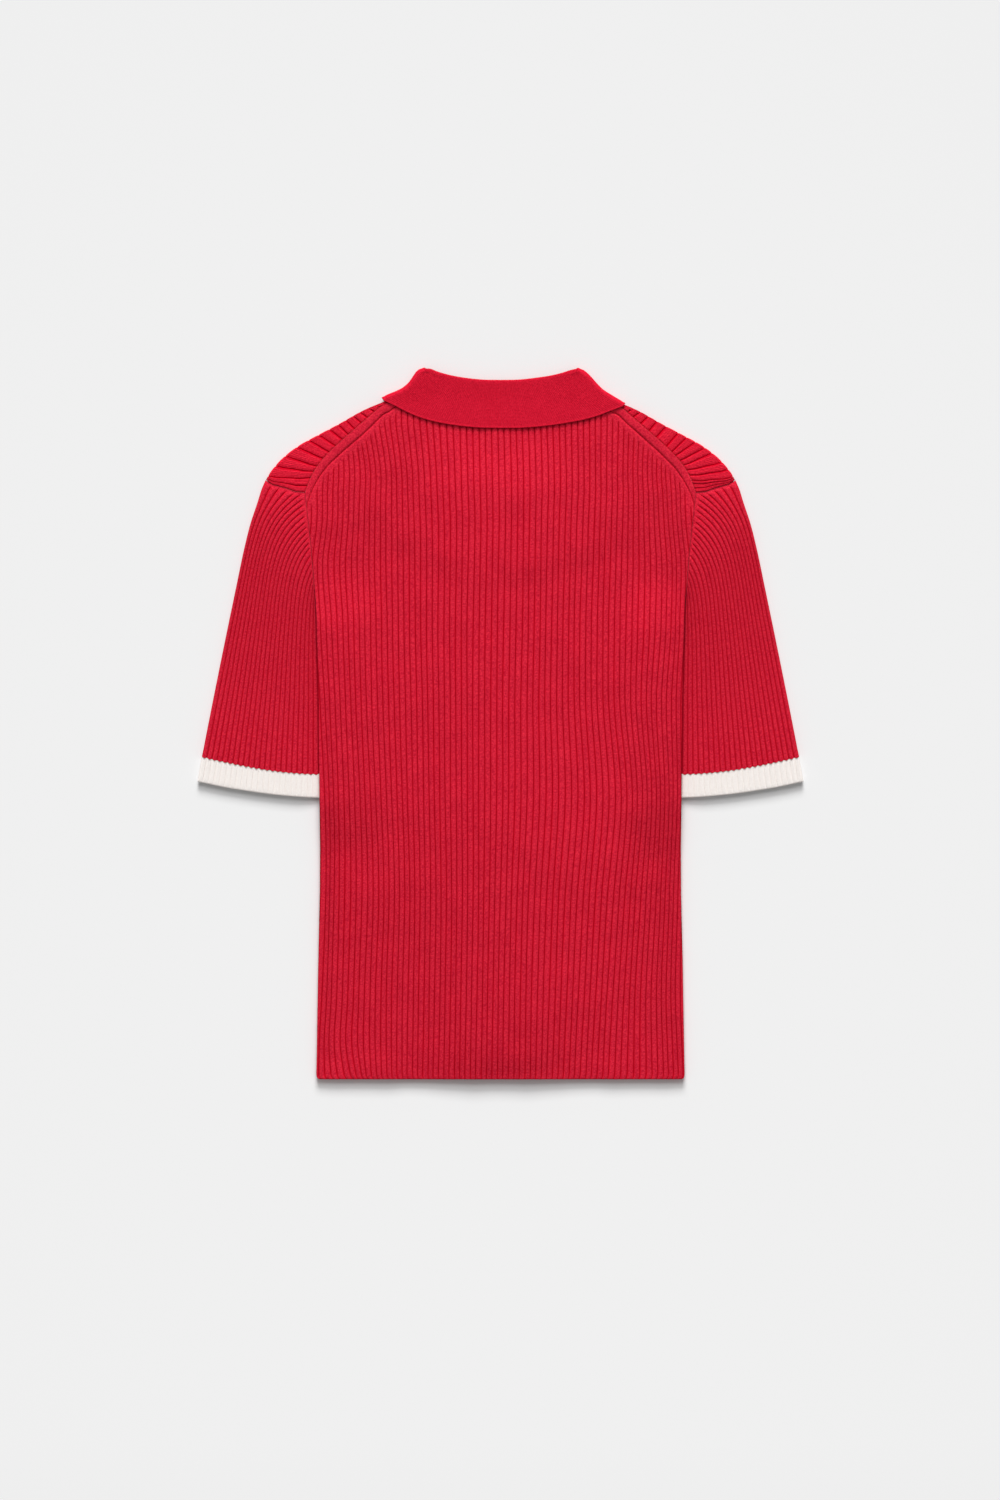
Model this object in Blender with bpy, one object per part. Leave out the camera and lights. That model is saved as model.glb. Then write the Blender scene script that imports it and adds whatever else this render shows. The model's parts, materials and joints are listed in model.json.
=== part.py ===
"""A short-sleeved rib-knit cardigan with a knitted collar, laid flat on its front.

+Z points up from the surface, +Y towards the collar, and +X to the wearer's right. The origin is on the
surface, under the middle of the garment. Sizes are in millimetres and become metres in make_object.
The layers, from the surface up: buttons and front collar, front panels, back panel, back collar.
"""

import math

import bmesh
import bpy
import numpy as np

MM = 0.001

# Cloth
CLOTH = 1.4  # a ply between its ribs
RIB = 0.7  # how far a rib stands up from the ply
GAP = 0.3  # between two pieces at a seam, and between two layers
PLY = CLOTH + GAP
TUBE = PLY + CLOTH + RIB  # a sleeve pressed flat
CLEAR = TUBE + GAP + 0.1  # how high the body stands over a sleeve

# Body
HEM_Y = -296.0
ARMHOLE_Y = 192.0  # the top of the back armhole
BACK_RIBS = 66
COLLAR_X = (75.0, 93.0)  # between these the shoulder seam comes out from under the collar
UNDER_COLLAR = 0.35  # how much shorter the plain stretch above the ribs is there
SEAM_BAND = 5.0  # the plain band along the back's shoulder seams
BAND_LINE = 6.8  # the narrow groove inside that band
RIBS_START = 13.5
SIDE = (  # y, half the body's width
    (-296.0, 153.3),
    (-272.0, 152.9),
    (-200.0, 151.7),
    (-140.0, 150.3),
    (-102.0, 150.1),
    (-62.0, 150.5),
    (20.0, 151.2),
    (88.0, 153.0),
    (106.0, 154.2),
    (150.0, 157.8),
    (192.0, 162.5),
)
BACK_NECK = (  # x, y of the seam under the back collar
    (0.0, 255.0),
    (30.0, 255.8),
    (60.0, 258.6),
    (82.0, 263.2),
    (110.0, 272.4),
)
SWAY_PLACES = (-1.0, -0.93, -0.73, -0.45, -0.15, 0.15, 0.4, 0.62, 0.85, 1.0)  # across the back
SWAY = (  # y, then how far right of an even spacing the rib lines run at each of those places
    (-296.0, 0.0, 3.0, 3.0, 0.5, -2.0, -3.0, -3.5, -3.0, 1.0, 0.0),
    (-230.0, 0.0, 2.0, 2.0, 1.0, -1.0, -2.0, 0.0, 1.0, 0.5, 0.0),
    (-147.0, 0.0, 2.5, 3.5, 1.5, 0.0, 0.5, 4.5, 7.5, 5.5, 0.0),
    (-64.0, 0.0, 2.5, 1.5, 0.0, 0.0, 4.5, 10.5, 14.0, 9.0, 0.0),
    (20.0, 0.0, 0.0, -1.5, -1.0, 0.0, 4.0, 6.5, 7.5, 5.5, 0.0),
    (86.0, 0.0, -1.5, -1.5, -1.5, 0.5, 5.0, 6.0, 7.0, 8.0, 0.0),
    (136.0, 0.0, -1.0, -0.5, 0.0, 2.0, 5.0, 6.0, 6.0, 5.5, 0.0),
    (170.0, 0.0, 6.0, 3.0, 1.0, 3.0, 5.0, 5.5, 4.5, 0.0, 0.0),
    (203.0, 0.0, 9.0, 6.0, 1.0, 2.5, 5.0, 5.5, 3.0, -4.0, 0.0),
    (250.0, 0.0, 8.0, 0.0, -3.5, 1.5, 3.5, 5.0, 4.0, -2.0, 0.0),
)

# Front panels
BAND_HALF = 15.0  # half the width of a front band
FRONT_RIBS = 15  # that fold over each shoulder
FRONT_COLUMNS = 10
FRONT_ROWS = (  # left x, y on the neckline and right x, y on the armhole, from the chest up
    (15.3, 150.0, 155.6, 126.0),
    (15.3, 191.7, 159.6, 148.0),
    (45.0, 200.5, 166.0, 166.0),
    (70.0, 221.0, 176.0, 182.0),
    (86.0, 246.0, 187.0, 194.0),
)
SHOULDER_RIBS = (  # rib number, then x, y on the back seam and x, y on the shoulder's fold
    (0.0, 94.3, 267.0, 94.6, 268.6),
    (1.5, 99.6, 263.7, 102.6, 265.7),
    (4.0, 110.0, 254.7, 116.7, 259.6),
    (6.5, 126.0, 240.9, 135.0, 249.4),
    (8.5, 136.6, 231.5, 151.8, 240.6),
    (10.5, 147.3, 220.8, 169.6, 230.6),
    (12.0, 153.3, 213.0, 181.5, 221.3),
    (13.5, 158.3, 204.0, 190.5, 211.2),
    (15.0, 162.6, 192.4, 195.6, 203.0),
)
CAP_SEAM = (  # share of the way in from the fold, then x, y where the sleeve's top meets the shoulder
    (0.0, 195.6, 203.0),
    (0.2, 189.6, 199.2),
    (0.5, 179.0, 196.3),
    (0.75, 171.0, 193.2),
    (1.0, 162.6, 192.4),
)

# Sleeves and cuffs
SLEEVE_RIBS = 22
SEAM_EASE = 20.0  # how fast a sleeve rib turns from the armhole to run down the sleeve
TUCK = 20.0  # how far the sleeve's inner fold lies under the body
OUTER_EDGE = (  # y, x of the sleeve's outer fold
    (-50.0, 252.7),
    (-28.0, 248.6),
    (16.3, 240.0),
    (76.3, 227.9),
    (116.3, 219.6),
    (146.3, 213.3),
    (166.3, 208.3),
    (186.3, 201.7),
    (194.6, 199.2),
    (203.0, 195.6),
)
BACK_STARTS = (  # rib number and y where it leaves the armhole, up to its top
    (0.0, 103.5),
    (3.0, 122.0),
    (7.0, 147.0),
    (12.0, 169.0),
    (16.8, 191.8),
)
CUFF_SEAM = (  # x, y of the line between sleeve and cuff
    (128.0, -42.6),
    (163.0, -42.3),
    (195.0, -39.0),
    (211.0, -36.3),
    (231.0, -32.3),
    (250.0, -28.0),
)
CUFF_END = (
    (128.0, -62.2),
    (163.0, -61.4),
    (195.0, -58.5),
    (211.0, -56.2),
    (231.0, -52.9),
    (254.0, -47.9),
)

# Collar: the stand's seam, the fold at its top and the leaf's free edge, as x, y
COLLAR = 1.5  # its cloth
COLLAR_MID = 3.35  # the height half-way between the back and the front collar
STAND_OUT = 0.9  # how far the middle of the stand's cloth lies from that height
LEAF_OUT = (3.3, 2.6)  # and the leaf's, on the back and on the front
BACK_STAND = ((0.0, 255.4), (30.0, 256.2), (60.0, 259.2), (80.0, 263.6), (92.4, 268.4))
BACK_FOLD = ((0.0, 284.0), (16.0, 284.4), (30.0, 286.0), (45.0, 289.1), (56.0, 292.7), (64.2, 293.7))
RIGHT_LEAF = (
    (0.0, 245.6),
    (18.0, 245.8),
    (36.5, 247.3),
    (55.8, 250.0),
    (69.2, 252.6),
    (81.5, 256.2),
    (92.0, 260.4),
    (102.4, 264.4),
)
LEFT_LEAF = (  # it lies a little higher at the shoulder
    (0.0, 245.6),
    (18.0, 246.0),
    (36.5, 247.8),
    (54.0, 250.8),
    (67.1, 254.5),
    (77.5, 259.2),
    (88.0, 265.0),
    (96.6, 269.4),
)
FRONT_STAND = ((92.4, 268.4), (83.0, 246.5), (66.0, 221.0), (42.0, 203.4), (18.0, 195.5), (4.0, 194.5))
FRONT_FOLD = ((64.2, 293.7), (61.5, 270.0), (52.0, 246.0), (36.0, 228.0), (18.0, 218.0), (8.0, 215.5))
FRONT_LEAF = (  # from the back leaf's end
    (104.0, 240.0), 
    (101.0, 212.0),
    (90.0, 190.0),
    (76.0, 175.5),
    (58.0, 168.5),
)
LEAF_SHARES = (0.05, 0.16, 0.4, 0.62, 0.85, 0.97, 1.0)
NECK_OUT = (0.583, 0.812)  # the way the collar bulges where it turns round the neck
NECK_BOW = (  # share of the leaf from fold to edge, and how far out that turn bows, right and left
    (0.0, -1.4, -1.4),
    (0.05, -0.6, -1.0),
    (0.15, -0.4, -1.7),
    (0.4, -2.7, -4.9),
    (0.62, -2.7, -3.3),
    (0.85, -1.2, -1.6),
    (1.0, -1.0, -1.6),
)

# The bands' buttons
BAND = 1.5  # a band's cloth
BUTTONS = 7
BUTTON_LOW_Y = -266.0
BUTTON_TOP_Y = 176.0
BUTTON_RADIUS = 5.5
BUTTON_HEIGHT = 1.8
BUMP = BUTTON_HEIGHT + GAP
BUMP_FLAT = 7.0
BUMP_FOOT = 15.0

RED = (0.47, 0.008, 0.025)
CREAM = (0.87, 0.82, 0.76)
BUTTON_RED = (0.30, 0.006, 0.018)


# --- lines and soft steps


def soft(t):
    """A step from 0 to 1 that starts and ends level."""
    t = np.clip(t, 0.0, 1.0)
    return t * t * (3.0 - 2.0 * t)


def through(table, at):
    """The smooth line through a table's rows, read at values of its first column."""
    table = np.array(table, float)
    key, value = table[:, 0], table[:, 1:]
    slope = np.gradient(value, key, axis=0)
    at = np.clip(np.asarray(at, float), key[0], key[-1])
    low = np.clip(np.searchsorted(key, at, side="right") - 1, 0, len(key) - 2)
    step = (key[low + 1] - key[low])[..., None]
    t = (at - key[low])[..., None] / step
    start = (2 * t**3 - 3 * t**2 + 1) * value[low] + (t**3 - 2 * t**2 + t) * step * slope[low]
    return start + (3 * t**2 - 2 * t**3) * value[low + 1] + (t**3 - t**2) * step * slope[low + 1]


def along(points, share):
    """The smooth plan line through a few points, read by the share of its length."""
    points = np.array(points, float)
    steps = np.linalg.norm(np.diff(points, axis=0), axis=1)
    key = np.concatenate([[0.0], np.cumsum(steps)]) / steps.sum()
    return through(np.column_stack([key, points]), share)


def straight(table, at):
    """The straight-sided line through a table's rows, read at values of its first column."""
    table = np.array(table, float)
    return np.column_stack([np.interp(at, table[:, 0], column) for column in table.T[1:]])


# --- how high each layer lies


def collar_rise(x, y, early=0.0):
    """The front collar lies under the front panels and lifts them."""
    reach = np.hypot(x / 112.0, (y - 240.0) / 92.0)
    return (COLLAR + GAP) * (1.0 - soft((reach - 1.0 - early) / 0.35))


def sleeve_rise(x, y, early=0.0):
    """The body's side climbs over the sleeve that is tucked under it."""
    down = soft((106.0 - y) / 18.0) * soft((y + 102.0) / 38.0)
    return CLEAR * down * soft((np.abs(x) - 92.0 + early) / 38.0)


def front_under(x, y):
    """The underside of the front panels. The left one rises to its band, which lies on the right one's."""
    band = (BAND + GAP) * soft((x + 62.0) / 44.0) * (x < 0)
    return collar_rise(x, y) + sleeve_rise(x, y) + band


def back_under(x, y):
    """The underside of the back panel, over the fronts and, in the middle, over the buttoned bands."""
    bands = 2 * (BAND + GAP) + BUMP - PLY + 0.05
    across = soft((82.0 - np.abs(x)) / 65.0)
    down = (0.5 + 0.5 * soft((y - HEM_Y) / 22.0)) * soft((242.0 - y) / 55.0)
    chest = 0.09 * soft((222.0 - y) / 30.0)
    return PLY + collar_rise(x, y, chest) + sleeve_rise(x, y, 8.0) + bands * across * down


def bump(x, y):
    """The bands rise over each button."""
    across = soft((BUMP_FOOT - np.abs(x)) / (BUMP_FOOT - BUMP_FLAT))
    reach = np.min([np.abs(y - at) for at in button_heights()], axis=0)
    return BUMP * across * soft((BUMP_FOOT - reach) / (BUMP_FOOT - BUMP_FLAT))


def button_heights():
    return np.linspace(BUTTON_LOW_Y, BUTTON_TOP_Y, BUTTONS)


# --- building closed pieces of cloth


class Piece:
    """The points and faces of one piece, built from rows that may have different numbers of points."""

    def __init__(self):
        self.points = []
        self.faces = []

    def row(self, points, keys=None):
        first = len(self.points)
        self.points.extend(tuple(p) for p in points)
        keys = np.linspace(0.0, 1.0, len(points)) if keys is None else keys
        return list(zip(range(first, first + len(points)), keys))

    def strip(self, a, b):
        """Faces between two rows, always closing the side whose next point comes first."""
        i = j = 0
        while i < len(a) - 1 or j < len(b) - 1:
            both = i < len(a) - 1 and j < len(b) - 1
            if both and abs(a[i + 1][1] - b[j + 1][1]) < 1e-9:
                self.faces.append((a[i][0], a[i + 1][0], b[j + 1][0], b[j][0]))
                i, j = i + 1, j + 1
            elif j == len(b) - 1 or (i < len(a) - 1 and a[i + 1][1] < b[j + 1][1]):
                self.faces.append((a[i][0], a[i + 1][0], b[j][0]))
                i += 1
            else:
                self.faces.append((a[i][0], b[j + 1][0], b[j][0]))
                j += 1

    def sheet(self, outer, inner, outer_keys=None, inner_keys=None):
        """A panel: rows of its outer face and rows of its inner face, closed round all four sides. Where
        the faces differ in their rows, the keys say which rows face each other."""
        outer_keys = range(len(outer)) if outer_keys is None else outer_keys
        inner_keys = range(len(inner)) if inner_keys is None else inner_keys
        outer, inner = [self.row(r) for r in outer], [self.row(r) for r in inner]
        for side in (outer, inner):
            for a, b in zip(side, side[1:]):
                self.strip(a, b)
        self.strip(outer[0], inner[0])
        self.strip(outer[-1], inner[-1])
        for end in (0, -1):
            self.strip(self.edge(outer, end, outer_keys), self.edge(inner, end, inner_keys))

    @staticmethod
    def edge(rows, end, keys):
        return [(row[end][0], key) for row, key in zip(rows, keys)]

    def tube(self, outer, inner):
        """A flat tube: closed rings, each a top row and a bottom row, outside and inside."""
        outer, inner = [self.ring(*r) for r in outer], [self.ring(*r) for r in inner]
        for side in (outer, inner):
            for a, b in zip(side, side[1:]):
                self.strip(a, b)
        self.strip(outer[0], inner[0])
        self.strip(outer[-1], inner[-1])

    def ring(self, top, bottom):
        keys = np.concatenate([np.linspace(0.0, 0.5, len(top)), np.linspace(0.52, 0.98, len(bottom))])
        row = self.row(np.vstack([top, bottom]), keys)
        return row + [(row[0][0], 1.0)]


def make_object(name, piece, material):
    """Turns a piece into an object in metres, with its faces outwards."""
    mesh = bpy.data.meshes.new(name)
    bm = bmesh.new()
    verts = [bm.verts.new([c * MM for c in point]) for point in piece.points]
    for face in piece.faces:
        bm.faces.new([verts[i] for i in face])
    bmesh.ops.recalc_face_normals(bm, faces=bm.faces)
    bmesh.ops.triangulate(bm, faces=bm.faces)
    bm.to_mesh(mesh)
    bm.free()
    mesh.shade_smooth()
    mesh.set_sharp_from_angle(angle=math.radians(35))
    mesh.materials.append(material)
    thing = bpy.data.objects.new(name, mesh)
    bpy.context.scene.collection.objects.link(thing)
    return thing


def lift(plan, z):
    """Plan points with their heights."""
    return np.column_stack([plan, np.broadcast_to(z, len(plan))])


def wave(columns):
    """1 on each rib's crest and 0 in each groove, two columns to a rib."""
    return np.arange(columns + 1) % 2


# --- the back


def rib_x(c, y):
    """Where the back's rib lines run: c goes from -1 at the left edge to 1 at the right one."""
    share = through(np.column_stack([SWAY_PLACES, np.eye(len(SWAY_PLACES))]), c)
    return c * body_edge(y) + (share * through(SWAY, y)).sum(axis=-1)


def on_shoulder(x):
    """0 in the middle, under the collar, and 1 along the shoulder seams."""
    return soft((np.abs(x) - COLLAR_X[0]) / (COLLAR_X[1] - COLLAR_X[0]))


def back_top(x):
    """The height of the back's upper edge: the shoulder seams and, between them, the neck seam."""
    seam = shoulder_plan(np.linspace(0.0, 1.0, 2 * FRONT_RIBS + 1), 1.0)
    seam = seam - outward(seam) * GAP
    shoulder = np.interp(np.abs(x), *seam.T)
    neck = through(BACK_NECK, np.abs(x))[..., 0] - GAP
    return np.minimum(shoulder, neck)


def back_rows(c):
    """The plan rows of the back, from the hem up, and how much rib each keeps."""
    x = rib_x(c, ARMHOLE_Y)
    for _ in range(8):
        top = back_top(x)
        x = rib_x(c, top)
    steep = np.minimum(np.hypot(1.0, np.gradient(top, x)), 2.2)
    stretch = UNDER_COLLAR + (steep - UNDER_COLLAR) * on_shoulder(x)
    level = SIDE[-2][0]
    rows = [(np.full(len(c), y), 1.0) for y, _ in SIDE[:-1]]
    high = []
    for inset, ribbed in ((RIBS_START, 1.0), (BAND_LINE, 0.0), (SEAM_BAND, None), (0.0, 0.0)):
        y = top - inset * stretch
        high.append((np.maximum(y, level + (top - level) * (0.9 - inset / 30.0)), ribbed))
    between = level + (high[0][0] - level) * 0.45
    rows += [(between, 1.0)] + high
    return [(np.column_stack([rib_x(c, y), y]), ribbed) for y, ribbed in rows]


def make_back(material):
    columns = 2 * BACK_RIBS
    fine = np.linspace(-1.0, 1.0, columns + 1)
    outer, inner = [], []
    for plan, ribbed in back_rows(fine):
        under = back_under(*plan.T)
        band = ribbed is None
        shape = on_shoulder(plan[:, 0]) if band else ribbed * wave(columns)
        top = under + CLOTH + RIB * shape
        top[[0, -1]] = under[[0, -1]] + 0.5
        outer.append(lift(plan, top))
        inner.append(lift(plan, under)[::4])
    piece = Piece()
    piece.sheet(outer, inner)
    return make_object("back", piece, material)


# --- the fronts


def shoulder_plan(u, w):
    """The part of a front that folds over the shoulder: u runs out along it, w from fold to seam."""
    seam_x, seam_y, fold_x, fold_y = through(SHOULDER_RIBS, u * FRONT_RIBS).T
    seam, fold = np.column_stack([seam_x, seam_y]), np.column_stack([fold_x, fold_y])
    cap = straight(CAP_SEAM, [w])[0]
    bow = cap - (fold[-1] * (1.0 - w) + seam[-1] * w)
    return fold * (1.0 - w) + seam * w + bow * u[:, None] ** 4


def outward(line):
    """Unit normals that point out over the shoulder."""
    run = np.gradient(line, axis=0)
    run /= np.linalg.norm(run, axis=1)[:, None]
    return np.column_stack([-run[:, 1], run[:, 0]])


def front_rows(u):
    """The plan rows of a front's lower layer, from the hem to just inside the shoulder's fold."""
    edge = BAND_HALF + GAP
    rows = [np.column_stack([edge + (half - edge) * u, np.full(len(u), y)]) for y, half in SIDE[:-2]]
    for left_x, left_y, right_x, right_y in FRONT_ROWS:
        line = np.column_stack([left_x + (right_x - left_x) * u, left_y + (right_y - left_y) * u])
        fold = shoulder_plan(u, 0.0)
        chord = fold[0] + (fold[-1] - fold[0]) * u[:, None]
        rows.append(line + (fold - chord) * soft((left_y - 150.0) / 110.0))
    return rows


def make_front(name, side, material):
    """side is 1 for the right front and -1 for the left one."""
    fine = np.linspace(0.0, 1.0, 2 * FRONT_RIBS + 1)
    coarse = np.linspace(0.0, 1.0, FRONT_COLUMNS + 1)
    rib = RIB * wave(2 * FRONT_RIBS)
    round_off = (TUBE - RIB) / 2

    def place(plan, z):
        plan = plan * (side, 1.0)
        return lift(plan, front_under(*plan.T) + z)

    outer = [place(plan, 0.0) for plan in front_rows(coarse)]
    inner = [place(plan, CLOTH) for plan in front_rows(coarse)]
    fold, normal = shoulder_plan(coarse, 0.0), outward(shoulder_plan(coarse, 0.0))
    outer.append(place(fold - normal * (round_off + RIB), 0.0))
    inner.append(place(fold - normal * (round_off + RIB + 0.2), CLOTH))
    inner.append(place(fold - normal * (CLOTH + RIB + 0.05), CLOTH + GAP / 2))
    fold, normal = shoulder_plan(fine, 0.0), outward(shoulder_plan(fine, 0.0))
    for turn in (-45.0, 0.0, 45.0, 90.0):
        turn = math.radians(turn)
        swell = rib * max(0.0, math.sin(turn) + 0.8) / 1.8
        out = (round_off + swell) * math.cos(turn) - round_off - RIB
        outer.append(place(fold + normal * out[:, None], round_off + (round_off + swell) * math.sin(turn)))
    for w, ribbed in ((0.2, 1.0), (0.5, 1.0), (0.75, 1.0), (0.93, 0.7), (1.0, 0.0)):
        outer.append(place(shoulder_plan(fine, w), PLY + CLOTH + rib * ribbed))
        inner.append(place(shoulder_plan(coarse, w), PLY))
    lower = len(FRONT_ROWS) + len(SIDE) - 1
    piece = Piece()
    piece.sheet(outer, inner, range(len(outer)), [*range(lower), lower + 1, *range(lower + 4, lower + 9)])
    return make_object(name, piece, material)


# --- the sleeves


def armhole_start(k, back):
    """Where the sleeve's rib number k leaves the body, on its upper or its lower layer."""
    if back:
        corner = BACK_STARTS[-1][0]
        y = np.interp(k, *np.array(BACK_STARTS).T)
        up = np.column_stack([np.interp(y, *np.array(SIDE).T) + GAP, y])
        share = (SLEEVE_RIBS - k) / (SLEEVE_RIBS - corner)
        cap = straight(CAP_SEAM, np.clip(share, 0.0, 1.0)) + (0.1, -GAP - 0.1)
        return np.where((k > corner)[:, None], cap, up)
    points = [(SIDE[-3][1] + 1.0, 103.5)] + [row[2:] for row in FRONT_ROWS] + [CAP_SEAM[0][1:]]
    points = np.array(points) + (0.6, -0.6)
    points[0] = (np.interp(103.5, *np.array(SIDE).T) + GAP, 103.5)
    steps = np.linalg.norm(np.diff(points, axis=0), axis=1)
    key = np.concatenate([[0.0], np.cumsum(steps)]) / steps.sum()
    return straight(np.column_stack([key, points]), k / SLEEVE_RIBS)


def body_edge(y):
    return np.interp(y, *np.array(SIDE).T)


def outer_edge(y):
    return through(OUTER_EDGE, y)[..., 0]


def tucked_edge(y):
    """The sleeve's inner fold: beside the body at the underarm, then under it."""
    return body_edge(y) + GAP - TUCK * soft((88.0 - y) / 60.0)


def sleeve_plan(k, s, back=True):
    """The rib lines of a sleeve: k counts them from the body's edge out, s runs from seam to cuff."""
    start = armhole_start(k, back)
    first = body_edge(start[:, 1]) + 2 * GAP
    far_start = first + (outer_edge(start[:, 1]) - first) * k / SLEEVE_RIBS
    off = far_start - start[:, 0]
    end = np.full(len(k), -40.0)
    for _ in range(3):
        inner = body_edge(end) + 2 * GAP
        end_x = inner + (outer_edge(end) - inner) * k / SLEEVE_RIBS
        end = through(CUFF_SEAM, end_x)[..., 0] + GAP / 2
    y = start[:, 1] + s * (end - start[:, 1])
    inner = body_edge(y) + 2 * GAP
    x = inner + (outer_edge(y) - inner) * k / SLEEVE_RIBS
    return np.column_stack([x - off * np.exp((y - start[:, 1]) / SEAM_EASE), y])


def cuff_plan(k, s):
    """The cuff carries the sleeve's rib lines on to its own edge."""
    top = sleeve_plan(k, 1.0) - (0.0, GAP)
    end_x = top[:, 0] + (CUFF_END[-1][0] - CUFF_SEAM[-1][0] - 0.3) * k / SLEEVE_RIBS
    end = np.column_stack([end_x, through(CUFF_END, end_x)[..., 0]])
    return top + s * (end - top)


def step_in(row, distance):
    """The last point of a row, moved back along it."""
    back = row[-2] - row[-1]
    return row[-1] + back * distance / np.linalg.norm(back)


def flat_tube(rows, ends):
    """A tube of two layers pressed flat. rows gives the plan line of rib numbers on each layer at a
    share of the length, ends how much rib each of those shares keeps."""
    fine = np.linspace(0.0, SLEEVE_RIBS, 2 * SLEEVE_RIBS + 1)
    coarse = np.linspace(0.0, SLEEVE_RIBS, SLEEVE_RIBS // 2 + 1)
    rib = RIB * wave(2 * SLEEVE_RIBS)
    outer, inner = [], []
    for s, ribbed in ends:
        top, low, hollow = rows(fine, s, True), rows(coarse, s, False), rows(coarse, s, True)
        fold = (tucked_edge(top[0, 1]), top[0, 1])
        rolled = 0.1 + 1.6 * float(soft((88.0 - top[0, 1]) / 30.0))
        near_top, near_low = (fold[0] + rolled, fold[1]), (fold[0] + rolled, low[0, 1])
        edge = top[-1].copy()
        top[-1] = step_in(top, 1.6)
        top_z = PLY + CLOTH + np.append(0.0, rib * ribbed)
        top_z[-1] -= 0.3
        low[-1] = step_in(low, 1.6)
        layer = lift(np.vstack([near_top, top]), top_z)
        upper = np.vstack([lift([fold], TUBE / 2), layer, lift([edge], TUBE / 2)])
        lower = lift(np.vstack([low[::-1], near_low]), 0.0)
        outer.append((upper, lower))
        wall = 2.0
        if s == 0.0:
            hollow[1:-1] -= (0.0, 1.5)
        hollow[0] = (fold[0] + wall, fold[1])
        hollow_low = low.copy()
        hollow_low[0] = (fold[0] + wall, low[0, 1])
        hollow[-1] = step_in(hollow, wall + 0.3)
        hollow_low[-1] = step_in(low, 0.7)
        inner.append((lift(hollow, PLY), lift(hollow_low[::-1], CLOTH)))
    return outer, inner


def mirrored(rings, side):
    return [tuple(half * (side, 1.0, 1.0) for half in ring) for ring in rings]


def make_sleeve(name, side, material):
    whole = tuple((s, 1.0) for s in (0.08, 0.16, 0.26, 0.4, 0.6, 0.8, 1.0))
    outer, inner = flat_tube(sleeve_plan, ((0.0, 0.2), (0.03, 0.8)) + whole)
    piece = Piece()
    piece.tube(mirrored(outer, side), mirrored(inner, side))
    return make_object(name, piece, material)


def make_cuff(name, side, material):
    ends = ((0.0, 1.0), (0.5, 0.8), (0.93, 0.6), (1.0, 0.0))
    outer, inner = flat_tube(lambda k, s, back: cuff_plan(k, s), ends)
    piece = Piece()
    piece.tube(mirrored(outer, side), mirrored(inner, side))
    return make_object(name, piece, material)


# --- the collar


def collar_section(stand, fold, leaf, turn, near_neck, bows):
    """One line across the collar: up the stand, over the fold and down the leaf, on both faces.
    turn goes from 0 on the back to pi on the front as the collar goes round the neck."""
    rise = (fold - stand) / np.linalg.norm(fold - stand)
    across = np.array(NECK_OUT) * math.sin(turn)
    leaf_out = sum(LEAF_OUT) / 2 + (LEAF_OUT[0] - LEAF_OUT[1]) / 2 * math.cos(turn)
    middle, half = (leaf_out + STAND_OUT) / 2, (leaf_out - STAND_OUT) / 2
    line = [(stand + (fold - stand) * s, 0.0) for s in (0.0, 0.5, 0.94)]
    line += [(fold + across * bows[0], math.radians(roll)) for roll in (36, 72, 108, 144)]
    for s, bow in zip(LEAF_SHARES, bows[1:]):
        line.append((fold + (leaf - fold) * s + np.array(NECK_OUT) * near_neck * bow, math.pi))
    faces = []
    for thick in (COLLAR / 2, -COLLAR / 2):
        face = []
        for place, roll in line:
            out = middle - (half + thick) * math.cos(roll)
            plan = place + rise * (half + thick) * math.sin(roll) + across * out
            face.append((plan[0], plan[1], COLLAR_MID + math.cos(turn) * out))
        faces.append(face)
    return faces


def collar_half(leaf, side):
    """Sections from the middle of the back round one side of the neck to the front end."""
    bows = through(NECK_BOW, (0.0,) + LEAF_SHARES)[:, side]
    sections = []
    for s in np.linspace(0.0, 1.0, 10):
        lines = [along(line, s) for line in (BACK_STAND, BACK_FOLD, leaf)]
        sections.append(collar_section(*lines, 0.0, soft((s - 0.6) / 0.4), bows))
    lines = [np.array(line[-1]) for line in (BACK_STAND, BACK_FOLD, leaf)]
    for turn in (36, 72, 108, 144):
        sections.append(collar_section(*lines, math.radians(turn), 1.0, bows))
    for s in np.linspace(0.0, 1.0, 8):
        lines = [along(line, s) for line in (FRONT_STAND, FRONT_FOLD, leaf[-1:] + FRONT_LEAF)]
        sections.append(collar_section(*lines, math.pi, soft((0.4 - s) / 0.4), bows))
    return np.array(sections)


def make_collar(material):
    right = collar_half(RIGHT_LEAF, 0)
    left = collar_half(LEFT_LEAF, 1)[:0:-1] * (-1.0, 1.0, 1.0)
    sections = np.concatenate([left, right])
    piece = Piece()
    piece.sheet(sections[:, 0], sections[:, 1])
    return make_object("collar", piece, material)


# --- the bands and buttons


def band_rows():
    rows = [HEM_Y, ARMHOLE_Y - 1.0]
    for at in button_heights():
        rows += [at + step for step in (-BUMP_FOOT, -BUMP_FLAT, BUMP_FLAT, BUMP_FOOT)]
    return sorted(y for y in rows if y <= ARMHOLE_Y - 1.0)


def make_band(name, under, material):
    """A strip over the middle of the front, from hem to neck, that rises over the buttons."""
    across = np.array([-BAND_HALF, -11.0, -BUMP_FLAT, BUMP_FLAT, 11.0, BAND_HALF])
    outer, inner = [], []
    for y in band_rows():
        plan = np.column_stack([across, np.full(len(across), y)])
        low = under + collar_rise(*plan.T) + bump(*plan.T)
        outer.append(lift(plan, low))
        inner.append(lift(plan, low + BAND))
    piece = Piece()
    piece.sheet(outer, inner)
    return make_object(name, piece, material)


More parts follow.
